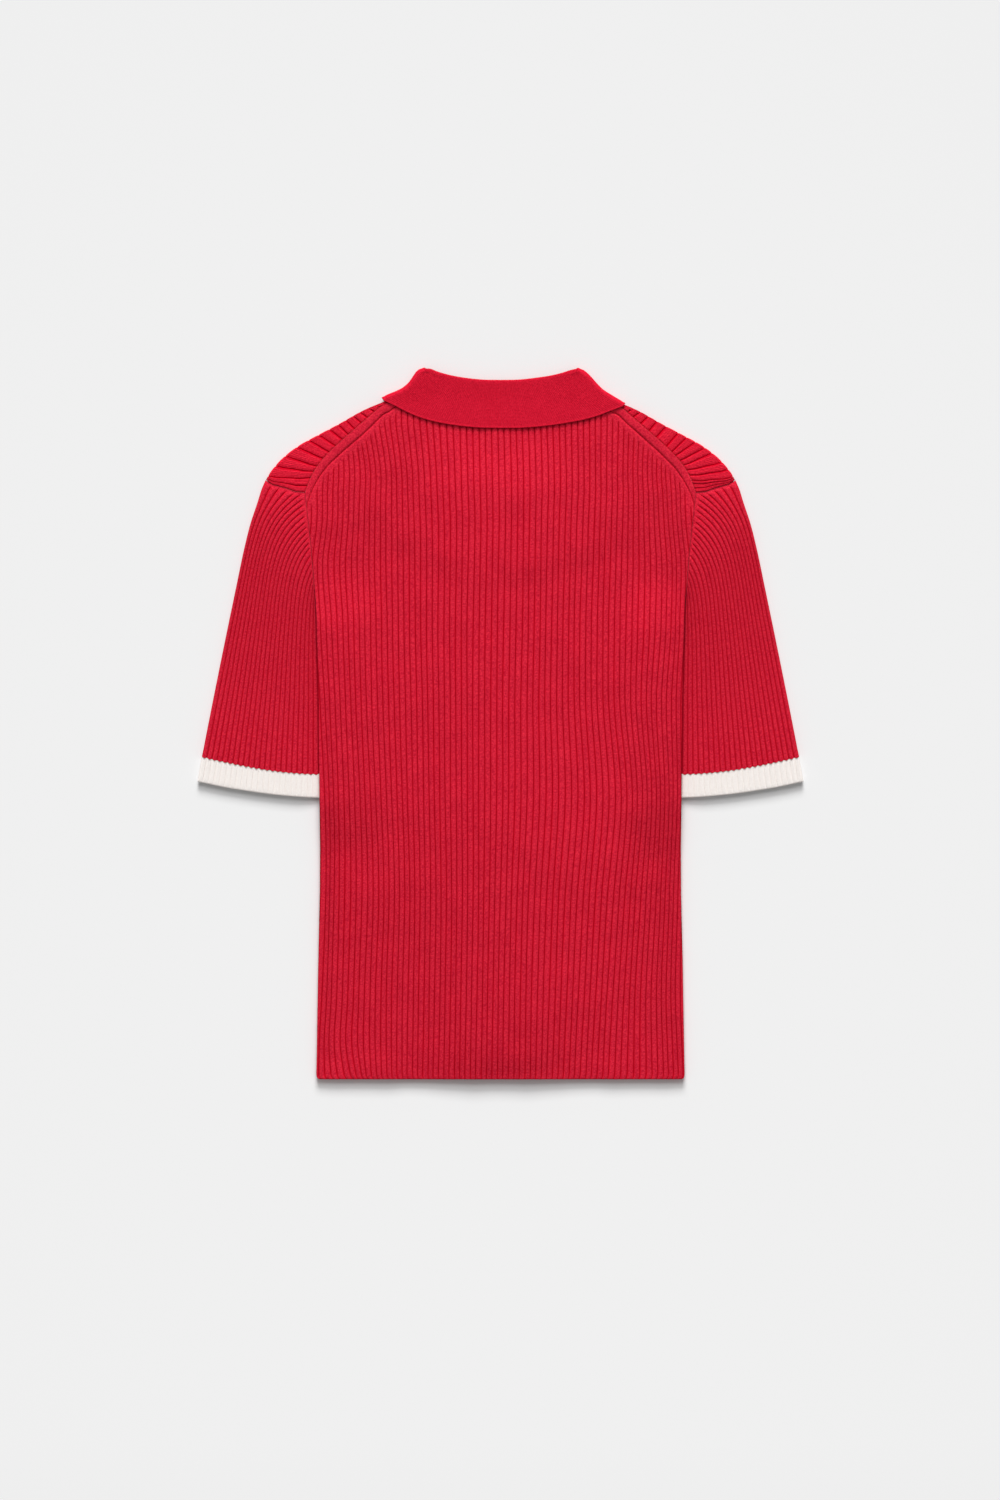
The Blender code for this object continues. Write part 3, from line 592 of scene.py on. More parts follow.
def front_plan(u, fold):
    """Those rows with as many more between them as the ribs need."""
    levels = front_levels(u, fold)
    rows = [levels[0]]
    for low, high in zip(levels, levels[1:]):
        steps = max(1, round(float(np.linalg.norm(high - low, axis=1).max()) / FRONT_STEP))
        rows += [low + (high - low) * step / steps for step in range(1, steps + 1)]
    return np.array(rows[:-1])


def make_front(name, side, fan):
    u = np.linspace(0.0, 1.0, FRONT_COLUMNS + 1)
    number = u * fan[-1][0]
    on_seam, on_fold = straight(fan, number).T / SHOULDER[-1][0]
    fold = shoulder_plan(on_fold, np.zeros(len(u)))
    flat = front_plan(u, fold)
    normal = outward(fold)
    near_fold = soft((flat[..., 1] - 150) / 60)
    hem_ribs = rib_height(u * FRONT_HEM_RIBS) * (1 - near_fold)
    low_z = FLAT_GROOVE * (1 - hem_ribs - near_fold)
    rib = np.sqrt(rib_height(number))
    shallow = 1 - FOLD_DEPTH * (1 - rib)
    turn = np.radians(FOLD_TURNS)[:, None]
    swell = (GROOVE - CLOTH + (CREST - GROOVE) * shallow) * soft((np.sin(turn) + 0.9) / 1.5)
    out = (FOLD_RADIUS + swell) * np.cos(turn) - FOLD_RADIUS - RIB
    round_z = FOLD_RADIUS + (FOLD_RADIUS + swell) * np.sin(turn)
    tight = FOLD_WALL + 0.25 * (1 - np.cos(turn))
    tight_z = CLOTH + GAP / 2 * (1 + np.sin(turn))
    shares = np.array(FLAP_SHARES)[:, None]
    flap = shoulder_plan(*np.broadcast_arrays(on_seam, shares, on_fold))
    width = np.linalg.norm(fold - shoulder_plan(on_seam, np.ones(len(u))), axis=1)
    to_seam = width * (1 - shares)
    depth = FOLD_DEPTH + (1 - FOLD_DEPTH) * soft(shares / 0.7)
    relief = (1 - depth * (1 - rib)) * soft((to_seam + 0.9) / 2.2) * unevenness(number, to_seam)
    flap_z = PLY + GROOVE + (CREST - GROOVE) * relief
    outer = [raised(flat, low_z), raised(fold + normal * out[..., None], round_z), raised(flap, flap_z)]
    inner = [raised(flat, CLOTH), raised(fold - normal * tight[..., None], tight_z), raised(flap, PLY)]
    outer, inner = np.concatenate(outer), np.concatenate(inner)[:, ::6]
    for face in (outer, inner):
        face[..., 0] *= side
        face[..., 2] += front_under(face[..., 0], face[..., 1])
    upper = np.arange(len(outer)) >= len(flat)
    counted = np.where(upper[:, None], number, u * FRONT_HEM_RIBS)
    run = outer[..., 1]
    cloth = Cloth()
    # The flap's ribbed value, above 1, makes the material add painted shade over the whole flap. It stands
    # also for the purl stitches that show where the ribs are stretched.
    outer = cloth.net(outer, counted, run, np.where(upper, PURL_AND_SHADE, 1.0)[:, None])
    inner = cloth.net(inner, counted[:, ::6], run[:, ::6], 0.0)
    cloth.close_panel(outer, inner)
    return cloth.build(name)


for (side, word), fan in zip(SIDES, (RIGHT_FAN, LEFT_FAN)):
    pieces[f"front_{word}"] = make_front(f"front_panel_{word}", side, fan)

# %% [markdown]
# ## The sleeves
#
# A sleeve is a tube pressed flat, its inner fold tucked under the body. Its ribs leave the armhole at a
# slant and bend to run down the sleeve. The tube's two folds are round.

# %% Plan of a sleeve
def armhole_start(k, back):
    """Where the sleeve's rib k leaves the body, on its upper or lower layer."""
    if back:
        corner = BACK_STARTS[-1][0]
        y = np.interp(k, *np.array(BACK_STARTS).T)
        up = np.column_stack([body_edge(y) + GAP, y])
        share = (SLEEVE_RIBS - k) / (SLEEVE_RIBS - corner)
        cap = straight(CAP_SEAM, np.clip(share, 0.0, 1.0)) + (0.1, -GAP - 0.1)
        return np.where((k > corner)[:, None], cap, up)
    points = np.array([row[2:] for row in FRONT_ROWS] + [CAP_SEAM[0][1:]]) + (0.6, -0.6)
    points = np.vstack([(body_edge(UNDERARM_Y) + GAP, UNDERARM_Y), points])
    key = lengths(points)
    return straight(np.column_stack([key / key[-1], points]), k / SLEEVE_RIBS)


def outer_edge(y):
    return through(OUTER_EDGE, y)[..., 0]


def tucked_edge(y):
    """The sleeve's inner fold: beside the body at the underarm, then under it."""
    return body_edge(y) + GAP - TUCK * soft((88 - y) / 60)


def jag(k):
    """The teeth, one for each rib, where the yarn changes colour."""
    return 0.9 * np.abs(k % 1 - 0.5) * 2


def sleeve_plan(k, s, back=True):
    """A sleeve's rib lines: k counts from the body's edge out, s runs from seam to cuff."""
    start = armhole_start(k, back)
    first = body_edge(start[:, 1]) + 2 * GAP
    far_start = first + (outer_edge(start[:, 1]) - first) * k / SLEEVE_RIBS
    off = far_start - start[:, 0]
    end = np.full(len(k), -40.0)
    for _ in range(3):
        inner = body_edge(end) + 2 * GAP
        end_x = inner + (outer_edge(end) - inner) * k / SLEEVE_RIBS
        end = through(CUFF_SEAM, end_x)[..., 0] + 0.03
    y = start[:, 1] + s * (end - start[:, 1])
    inner = body_edge(y) + 2 * GAP
    x = inner + (outer_edge(y) - inner) * k / SLEEVE_RIBS
    x = x - off * np.exp((y - start[:, 1]) / SEAM_EASE)
    return np.column_stack([x, y + jag(k) * soft((s - 0.97) / 0.03)])


def cuff_plan(k, s, back=True):
    """The cuff carries the sleeve's rib lines on."""
    top = sleeve_plan(k, 1.0) - (0.0, 0.06)
    end_x = top[:, 0] + (CUFF_END[-1][0] - CUFF_SEAM[-1][0] - 0.3) * k / SLEEVE_RIBS
    end = np.column_stack([end_x, through(CUFF_END, end_x)[..., 0]])
    return top + s * (end - top)


# %% A tube pressed flat
LOFT = 1.1  # how far the sleeve's open end stands up, beside the body
EDGE_WALL = 2.3  # how far the hollow ends before the outer fold
ARCS = np.radians([22.0, 45.0, 68.0])
TUCKED_STEPS = np.linspace(0.0, 1.0, 7)[:-1]


def rounded(distance):
    """How a tube closes towards its fold."""
    share = np.clip(distance / (TUBE / 2), 0.0, 1.0)
    return np.sqrt(1 - (1 - share) ** 2)


def stand_up(points, share):
    """How far the upper layer is lifted, for a share of the full loft."""
    beside = np.abs(points[:, 0]) - body_edge(points[:, 1])
    return LOFT * share * soft((beside - 2) / 18)


def tube_ring(plan, s, run, depth, lip, loft):
    """One ring round the tube, its rib numbers, and the ring of its inner wall. depth is how far the ribs
    stand up, lip how far the ring has closed at a cast-off edge, and loft how open the tube stands."""
    k = rib_numbers(SLEEVE_RIBS)
    top, low = plan(k, s, True), plan(k, s, False)
    to_edge = np.linalg.norm(top - top[-1], axis=1)
    middle = TUBE / 2
    rib = rib_height(k)
    crest = PLY + GROOVE + (CREST - GROOVE) * rib * unevenness(k, run) * depth + (1 - depth) * 0.5
    top_z = middle + (crest - middle) * rounded(to_edge)
    low_z = middle - (middle - FLAT_GROOVE * (1 - rib) * depth) * rounded(to_edge)
    fold_x, fold_y = tucked_edge(top[0, 1]), top[0, 1]
    rolled = 0.1 + 1.6 * float(soft((88 - fold_y) / 30))
    arc_x = fold_x + rolled * (1 - np.cos(ARCS))
    flat_x = fold_x + rolled + (top[0, 0] - fold_x - rolled) * TUCKED_STEPS
    ring = [
        lay([fold_x], [fold_y], [middle]),
        lay(arc_x, fold_y, middle + (top_z[0] - middle) * np.sin(ARCS)),
        lay(flat_x, fold_y, top_z[0]),
        raised(top, top_z),
        raised(low[-2::-1], low_z[-2::-1]),
        lay(flat_x[::-1], low[0, 1], 0.0),
        lay(arc_x[::-1], low[0, 1], middle - middle * np.sin(ARCS[::-1])),
    ]
    ring = np.concatenate(ring)
    ring[:, 2] = (middle + (ring[:, 2] - middle) * lip) * (1 + stand_up(ring, loft) / TUBE)
    extra = len(ARCS) + len(TUCKED_STEPS)
    ribs = np.concatenate([np.linspace(-5.0, 0.0, 1 + extra, endpoint=False), k, k[-2::-1], np.zeros(extra)])

    hollow, hollow_low = (plan(np.arange(SLEEVE_RIBS + 1), s, back) for back in (True, False))
    hollow[1:-1, 1] -= 1.5 * (1 - soft(run / 6))
    for line in (hollow, hollow_low):
        line[0, 0] = fold_x + 2
        inwards = line[-2] - line[-1]
        line[-1] += inwards * EDGE_WALL / np.linalg.norm(inwards)
    upper = raised(hollow, PLY + stand_up(hollow, loft))
    return ring, ribs, np.concatenate([upper, raised(hollow_low[::-1], CLOTH)])


def make_tubes(kind, plan, rows):
    """Both sides' tubes. A row has a ring's share of the length, millimetres from the start, depth, lip and
    loft."""
    rings, ribs, walls = (np.array(part) for part in zip(*[tube_ring(plan, *row) for row in rows]))
    run, ribbed = np.array(rows)[:, 1:3].T[..., None]
    for side, word in SIDES:
        cloth = Cloth()
        outer = cloth.net(rings * (side, 1, 1), ribs, run, ribbed, closed=True)
        inner = cloth.net(walls * (side, 1, 1), 0.0, run, 0.0, closed=True)
        cloth.close_tube(outer, inner)
        pieces[f"{kind}_{word}"] = cloth.build(f"{kind}_shell_{word}")


# %% Sleeves
SLEEVE_LENGTH = 234.0
SLEEVE_RUNS = [0, 0.4, 0.9, 1.4, 1.9, 2.5, 3.2, 4.2, 5.6, 7.6, 10, 12.7]
SLEEVE_RUNS += np.arange(15.5, 229.0, 3.4).tolist() + [230.5, 232.2, SLEEVE_LENGTH]


def sleeve_row(run):
    """Plain beside the seam, then whole ribs, and opening a little towards its end."""
    return run / SLEEVE_LENGTH, run, soft((run - 0.6) / 2.4), 1.0, soft((run - SLEEVE_LENGTH + 75) / 75)


make_tubes("sleeve", sleeve_plan, [sleeve_row(run) for run in SLEEVE_RUNS])

# %% [markdown]
# ## The cuffs
#
# They are knitted on in cream. The sleeve's rib lines run on, pressed flatter, to a small round lip.

# %% Cuffs
CUFF_LENGTH = 20.0
CUFF_DEPTH = 0.32
CUFF_RUNS = (0, 0.5, 1.2, 2.2, 3.4, 4.8, 6.4, 8, 9.6, 11.2, 12.8, 14.4, 16, 17.2, 18.2, 18.9, 19.4, 19.75, 20)


def cuff_row(run):
    """Its ribs fade before the edge, which closes over its last millimetre."""
    lip = 0.55 + 0.45 * math.sqrt(1 - max(0.0, run - 19) ** 2)
    return run / CUFF_LENGTH, run, CUFF_DEPTH * (1 - 0.6 * soft(run - 17.8)), lip, 1.0


make_tubes("cuff", cuff_plan, [cuff_row(run) for run in CUFF_RUNS])

# %% [markdown]
# ## The collar
#
# One strip of fine rib, linked to the neckline: a stand, a fold, and a leaf that falls outwards, on the
# back on top and at each side turning under to the front. The mesh is a sweep of one section, computed
# for all places round the neck at once. A bead finishes the free edge.

# %% Sections round the neck
COLLAR_RIBS = (54, 6, 58)  # on one side: along the back, round the neck's side, along the front
COLLAR_PHASES = 4
FINE_RIB = 0.26
STAND_SHARES = (0, 0.15, 0.3, 0.45, 0.6, 0.75, 0.86, 0.94)
ROLLS = (20, 40, 60, 80, 100, 120, 140, 160)
LEAF_SHARES = (0.02, 0.08, 0.15, 0.22, 0.3, 0.38, 0.46, 0.54, 0.62, 0.7, 0.78, 0.85, 0.91)
LEAF_SHARES += (0.945, 0.96, 0.975, 0.988)
EDGE_SHARES = ((0.995, 0.9), (0.999, 0.62), (1, 0.25))  # the bead's rounding: share, thickness
BEAD_SHARE = 0.952


def collar_lines(back_fold, back_leaf):
    """Stand, fold and leaf from the middle of the back to the front's end, with each column's turn round the
    neck and how near the neck's side it is."""
    back, side, front = (count * COLLAR_PHASES for count in COLLAR_RIBS)
    s = np.linspace(0.0, 1.0, back + 1)
    at_back = [along(line, s) for line in (BACK_STAND, back_fold, back_leaf)]
    corner = [np.repeat(line[-1:], side - 1, axis=0) for line in at_back]
    t = np.linspace(0.0, 1.0, front + 1)
    front_lines = (FRONT_STAND, back_fold[-1:] + FRONT_FOLD, back_leaf[-1:] + FRONT_LEAF)
    at_front = [along(line, t) for line in front_lines]
    lines = [np.concatenate(three) for three in zip(at_back, corner, at_front)]
    turn = np.concatenate([0 * s, math.pi * np.arange(1, side) / side, math.pi + 0 * t])
    near = np.concatenate([soft((s - 0.6) / 0.4), np.ones(side - 1), soft((0.4 - t) / 0.4)])
    return lines, turn, near


def collar_face(lines, turn, near, side, number, outside):
    """One face, in rows along the neck: up the stand, over the fold and down the leaf."""
    stand, fold, leaf = lines
    rise = (fold - stand) / np.linalg.norm(fold - stand, axis=1)[:, None]
    across = np.array(NECK_OUT) * np.sin(turn)[:, None]
    leaf_out = sum(LEAF_OUT) / 2 + (LEAF_OUT[0] - LEAF_OUT[1]) / 2 * np.cos(turn)
    middle, half = (leaf_out + STAND_OUT) / 2, (leaf_out - STAND_OUT) / 2
    steps = []
    for share in STAND_SHARES:
        bow = through(NECK_BOW, 1 - share)[side] * soft(share / 0.3)
        place = stand + (fold - stand) * share + np.array(NECK_OUT) * bow * near[:, None]
        steps.append((place, 0.0, 1.0, 0.0))
    steps += [(fold + across * NECK_BOW[0][1], math.radians(roll), 1.0, 0.0) for roll in ROLLS]
    leaf_steps = [(share, 1.0) for share in LEAF_SHARES] + list(EDGE_SHARES)
    for share, thickness in leaf_steps:
        bead = 0.3 * math.exp(-(((share - BEAD_SHARE) / 0.009) ** 2))
        bow = through(NECK_BOW, share)[side]
        place = fold + (leaf - fold) * share + np.array(NECK_OUT) * bow * near[:, None]
        steps.append((place, math.pi, thickness, bead))
    rib = FINE_RIB * (rib_height(number) - 1)
    rows = []
    for place, roll, thickness, bead in steps:
        fine = rib * (1 - soft((thickness < 1.0) + 3 * bead))
        thick = outside * (COLLAR / 2 * thickness + fine * thickness - bead)
        out = middle - (half + thick) * math.cos(roll)
        plan = place + rise * ((half + thick) * math.sin(roll))[:, None] + across * out[:, None]
        rows.append(raised(plan, COLLAR_MID + np.cos(turn) * out))
    return np.array(rows)


def make_collar():
    cloth = Cloth()
    nets = []
    for outside in (1.0, -1.0):
        halves = []
        for side, (fold, leaf) in enumerate(((RIGHT_FOLD, RIGHT_LEAF), (LEFT_FOLD, LEFT_LEAF))):
            lines, turn, near = collar_lines(fold, leaf)
            number = np.arange(len(turn)) / COLLAR_PHASES
            halves.append(collar_face(lines, turn, near, side, number, outside))
        right, left = halves[0], halves[1][:, :0:-1] * (-1.0, 1.0, 1.0)
        whole = np.concatenate([left, right], axis=1)
        ribs = np.concatenate([-number[:0:-1], number])
        nets.append(cloth.net(whole, ribs, lengths(right[:, 0])[:, None], 1.0))
    cloth.close_panel(*nets)
    return cloth.build("collar_shell")


pieces["collar"] = make_collar()

# %% [markdown]
# ## The button bands
#
# Two fine plain strips down the middle of the front, one over the other, that rise over each button.

# %% Bands
BAND_COLUMNS = 30
BAND_STEP = 2.0


def make_band(name, under):
    x = np.linspace(-BAND_HALF, BAND_HALF, BAND_COLUMNS + 1)
    y = np.linspace(HEM_Y, ARMHOLE_Y - 1, round((ARMHOLE_Y - HEM_Y) / BAND_STEP))[:, None]
    low = under + collar_rise(x, y) + bump(x, y)
    edge = np.minimum(BAND_HALF - np.abs(x), np.minimum(y - HEM_Y, ARMHOLE_Y - 1 - y) + 0 * x)
    thin = 0.35 * (1 - soft(edge / 1.2))
    cloth = Cloth()
    outer = cloth.net(lay(x, y, low + thin), x / 1.5, y, 0.0)
    inner = cloth.net(lay(x, y, low + BAND - thin), x / 1.5, y, 0.0)
    cloth.close_panel(outer, inner)
    return cloth.build(name)


pieces["buttonhole_band"] = make_band("buttonhole_band_strip", 0.0)
pieces["button_band"] = make_band("button_band_strip", BAND + GAP)

# %% [markdown]
# ## Buttons
#
# Seven flat four-hole buttons, face down. One is modelled as by hand: a disc, its front face inset and
# pushed in to leave a rim, its edges bevelled and four holes cut through. The others are copies with
# their own meshes.

# %% Model one button
RIM = 1.3
DISH = 0.55
HOLE = 0.75
HOLE_REACH = 1.35


def select_none():
    for thing in bpy.data.objects:
        thing.select_set(False)


def only(piece):
    select_none()
    piece.select_set(True)
    bpy.context.view_layer.objects.active = piece


def settle(piece):
    """Puts a piece's place into its mesh."""
    only(piece)
    bpy.ops.object.transform_apply(location=True, rotation=True, scale=True)


def press_front(piece):
    """Insets the face that looks down and pushes it in, which leaves a rim."""
    only(piece)
    bpy.ops.object.mode_set(mode="EDIT")
    bpy.ops.mesh.select_mode(type="FACE")
    bpy.ops.mesh.select_all(action="DESELECT")
    bm = bmesh.from_edit_mesh(piece.data)
    bm.faces.ensure_lookup_table()
    for face in bm.faces:
        face.select = face.normal.z < -0.9
    bmesh.update_edit_mesh(piece.data)
    bpy.ops.mesh.inset(thickness=RIM * MM, depth=0.0)
    bpy.ops.mesh.inset(thickness=0.35 * MM, depth=-DISH * MM)
    bpy.ops.object.mode_set(mode="OBJECT")


def add_cylinder(sides, radius, height, x, y, z):
    place = (x * MM, y * MM, z * MM)
    bpy.ops.mesh.primitive_cylinder_add(vertices=sides, radius=radius * MM, depth=height * MM, location=place)
    return bpy.context.active_object


def make_button(name):
    select_none()
    button = add_cylinder(48, BUTTON_RADIUS, BUTTON_HEIGHT, 0.0, 0.0, BUTTON_HEIGHT / 2)
    button.name = name
    settle(button)
    press_front(button)
    select_none()
    cutters = []
    for angle in np.radians((45.0, 135.0, 225.0, 315.0)).tolist():
        x, y = HOLE_REACH * math.cos(angle), HOLE_REACH * math.sin(angle)
        cutters.append(add_cylinder(20, HOLE, 8.0, x, y, 0.0))
    for cutter in cutters:
        cutter.select_set(True)
    bpy.ops.object.join()
    holes = bpy.context.active_object
    cut = button.modifiers.new("holes", "BOOLEAN")
    cut.object = holes
    cut.operation = "DIFFERENCE"
    soften = button.modifiers.new("soften", "BEVEL")
    soften.width = 0.16 * MM
    soften.segments = 2
    soften.limit_method = "ANGLE"
    soften.angle_limit = math.radians(40)
    only(button)
    for modifier in list(button.modifiers):
        bpy.ops.object.modifier_apply(modifier=modifier.name)
    bpy.data.objects.remove(holes)
    bpy.ops.object.shade_smooth_by_angle(angle=math.radians(35))
    return button


first_button = make_button("button_pattern")
for index, y in enumerate(BUTTON_HEIGHTS, 1):
    button = add_object(f"button_disc_{index}", first_button.data.copy())
    button.location = (0.0, y * MM, float(collar_rise(0.0, y)) * MM)
    settle(button)
    pieces[f"button_{index}"] = button
bpy.data.objects.remove(first_button)
print("one button has", len(pieces["button_1"].data.polygons), "faces")

# %% [markdown]
# ## Sewing
#
# Thread through the buttons, worked buttonholes and linking yarn in the seams: fine curves turned into
# meshes.

# %% Threads, buttonholes and seams
HALF_SLIT = 6.6
SLIT_WIDTH = 1.25  # with its stitches, from the middle


def thread_mesh(name, runs, radius, sides=2):
    """Tubes along runs of points, in millimetres, as one mesh."""
    curve = bpy.data.curves.new(name, "CURVE")
    curve.dimensions = "3D"
    curve.bevel_depth = radius * MM
    curve.bevel_resolution = sides
    curve.use_fill_caps = True
    for run in runs:
        spline = curve.splines.new("POLY")
        spline.points.add(len(run) - 1)
        spline.points.foreach_set("co", np.column_stack([run * MM, np.ones(len(run))]).ravel())
    only(add_object(name, curve))
    bpy.ops.object.convert(target="MESH")
    piece = bpy.context.active_object
    piece.data.shade_smooth()
    print(f"{name}: {len(piece.data.polygons)} faces")
    return piece


def button_threads():
    """Two bars of three strands on the face of each button, from hole to hole."""
    runs = []
    reach = HOLE_REACH * math.cos(math.radians(45))
    share = np.linspace(0.0, 1.0, 9)
    arch = np.sin(math.pi * share)
    for y, bar, strand in product(BUTTON_HEIGHTS, (-reach, reach), (-0.32, 0.0, 0.32)):
        z = collar_rise(0.0, y) + 1.15 - 0.85 * arch**0.5
        runs.append(lay((2 * share - 1) * reach, y + bar + strand * (0.6 + 0.4 * arch), z))
    return runs


def buttonhole_stitches():
    """Small stitches round each slit, on the face of the band that the button lies on."""
    runs = []
    turn = np.linspace(0.0, math.tau, 44, endpoint=False)[:, None]
    grow = np.array([0.25, 1.0])
    x = (HALF_SLIT + 0.9 * grow) * np.cos(turn)
    for at in BUTTON_HEIGHTS:
        y = at + SLIT_WIDTH * grow * np.copysign(np.abs(np.sin(turn)) ** 0.5, np.sin(turn))
        ends = lay(x, y, collar_rise(x, y) + bump(x, y) - 0.12)
        middle = ends.mean(axis=1) - (0.0, 0.0, 0.12)
        runs.extend(np.stack([ends[:, 0], middle, ends[:, 1]], axis=1))
    return runs


def seam_runs():
    """Where linking yarn lies in the shoulder, armhole and cap seams, just under the crests."""
    runs = []
    u = np.linspace(0.0, 1.0, 90)
    shoulder = shoulder_plan(u, np.ones(90)) - outward(shoulder_plan(u, np.ones(90))) * 0.1
    shoulder = shoulder[shoulder[:, 0] > 96.0]
    armhole_y = np.linspace(112.0, 191.0, 50)
    armhole = np.column_stack([body_edge(armhole_y) + 0.15, armhole_y])
    cap = straight(CAP_SEAM, np.linspace(0.12, 1.0, 24)) + (0.05, -0.2)
    for line, below in ((shoulder, 0.75), (armhole, 0.75), (cap, 0.8)):
        lifted = line is not armhole
        length = lengths(line)
        at = np.arange(0.0, length[-1], 0.8)
        line = straight(np.column_stack([length, line]), at)
        weave = 0.10 * np.sin(math.tau * at / 2.4)
        for side in (1.0, -1.0):
            plan = line * (side, 1.0)
            lift = front_under(*plan.T) * lifted
            runs.append(raised(plan, PLY + CREST - below + weave + lift))
    return runs


pieces["threads"] = thread_mesh("button_threads", button_threads(), 0.17)
pieces["buttonholes"] = thread_mesh("buttonhole_stitches", buttonhole_stitches(), 0.17, sides=1)
pieces["seams"] = thread_mesh("linking_yarn", seam_runs(), 0.24)

# %% [markdown]
# ## Materials
#
# All the yarn is one effect in three colours, so it is one node group. Each column of stitches is a row
# of little Vs, drawn as ridges whose height falls off at a leg's edges and where one stitch slips into
# the next. The group puts out that height, a mask for the painted shade in the grooves and a mottle.
# Shader and sheen stay in each material.

# %% The knitting group
GROOVE_SHADE_REACH = 0.28  # how far the painted shade of a groove reaches, in ribs
MOTTLE = ((780, 2, 2), (190, 1, 0.2), (26, 1, 0.12))  # scale, detail and weight of its noises


def give(tree, socket, value):
    """Links a socket, or sets its value. A colour has three parts."""
    if isinstance(value, bpy.types.NodeSocket):
        tree.links.new(value, socket)
    else:
        socket.default_value = (*value, 1.0) if isinstance(value, tuple) else value


def set_inputs(tree, node, **inputs):
    """An underscore in an input's name stands for a space."""
    for name, value in inputs.items():
        give(tree, node.inputs[name.replace("_", " ")], value)
    return node


def add_node(tree, kind, **inputs):
    return set_inputs(tree, tree.nodes.new("ShaderNode" + kind), **inputs)


def object_place(tree):
    return add_node(tree, "TexCoord").outputs["Object"]


def arithmetic(tree):
    """Returns a function that writes one step as a Math node."""

    def step(operation, *values, clamp=False):
        node = add_node(tree, "Math")
        node.operation = operation
        node.use_clamp = clamp
        for socket, value in zip(node.inputs, values):
            give(tree, socket, value)
        return node.outputs[0]

    return step


def build_knitting():
    group = bpy.data.node_groups.new("knitting", "ShaderNodeTree")
    for way, labels in (("INPUT", ("Ribbed", "Wales", "Course")), ("OUTPUT", ("Height", "Groove", "Tone"))):
        for label in labels:
            group.interface.new_socket(label, in_out=way, socket_type="NodeSocketFloat")
    given = group.nodes.new("NodeGroupInput").outputs
    made = group.nodes.new("NodeGroupOutput")
    sums = arithmetic(group)
    place = add_node(group, "UVMap")
    place.uv_map = "knit"
    across, run, _ = add_node(group, "SeparateXYZ", Vector=place.outputs["UV"]).outputs

    wale = sums("FRACT", sums("MULTIPLY", across, given["Wales"]))
    from_middle = sums("ABSOLUTE", sums("SUBTRACT", wale, 0.5))
    course = sums("DIVIDE", run, given["Course"])
    slanted = sums("FRACT", sums("ADD", course, sums("MULTIPLY", from_middle, 1.5)))
    leg = sums("SINE", sums("MULTIPLY", from_middle, math.tau))
    bead = sums("POWER", sums("SINE", sums("MULTIPLY", slanted, math.pi)), 0.6)
    stitch = sums("MULTIPLY", sums("POWER", leg, 0.6), bead)

    # The Groove output is painted shade: a mask that draws the colour towards the groove colour near each
    # groove, scaled by Ribbed. Where Ribbed is above 1, on the shoulder flaps, the mask never falls below
    # Ribbed less 1.
    from_crest = sums("ABSOLUTE", sums("SUBTRACT", sums("FRACT", across), 0.5))
    to_groove = sums("SUBTRACT", 0.5, from_crest)
    deep = sums("SUBTRACT", 1.0, sums("DIVIDE", to_groove, GROOVE_SHADE_REACH), clamp=True)
    deep = sums("MULTIPLY", sums("POWER", deep, 1.3), given["Ribbed"])
    # Painted shade on the shoulder flaps: Ribbed above 1 keeps the groove mask at least Ribbed less 1.
    stretched = sums("SUBTRACT", given["Ribbed"], 1.0)
    deep = sums("MINIMUM", sums("MAXIMUM", deep, stretched), 1.0)

    where = object_place(group)
    tone = 0.0
    for scale, detail, weight in MOTTLE:
        noise = add_node(group, "TexNoise", Vector=where, Scale=scale, Detail=detail)
        part = sums("SUBTRACT", noise.outputs["Fac"], 0.5)
        tone = sums("ADD", tone, sums("MULTIPLY", part, weight))
    set_inputs(group, made, Height=stitch, Groove=deep, Tone=sums("ADD", tone, 0.5, clamp=True))
    return group


knitting = build_knitting()
print("knitting group:", len(knitting.nodes), "nodes")

# %% [markdown]
# ## Yarn colours
#
# The colour on a crest, the painted shade in a groove, and how much the mottle swings its red, green and
# blue. The groove colour is painted shade: darker and more saturated, because light there has bounced from
# yarn to yarn. Sheen stands for fine fibres.

# %% Knit materials
COURSE = 1.15  # the height of a stitch
FINE_GROOVE_SHADE = 0.4  # how strong the painted shade in the grooves of a fine rib is
KNIT_ROUGHNESS = (0.72, 0.95)
KNIT_SPECULAR = 0.015
KNIT_SHEEN = 0.03


def mix_colour(tree, factor, first, second):
    node = add_node(tree, "Mix")
    node.data_type = "RGBA"
    for index, value in ((0, factor), (6, first), (7, second)):
        give(tree, node.inputs[index], value)
    return node.outputs[2]


def start_material(name):
    material = bpy.data.materials.new(name)
    material.use_nodes = True
    return material, material.node_tree, material.node_tree.nodes["Principled BSDF"]


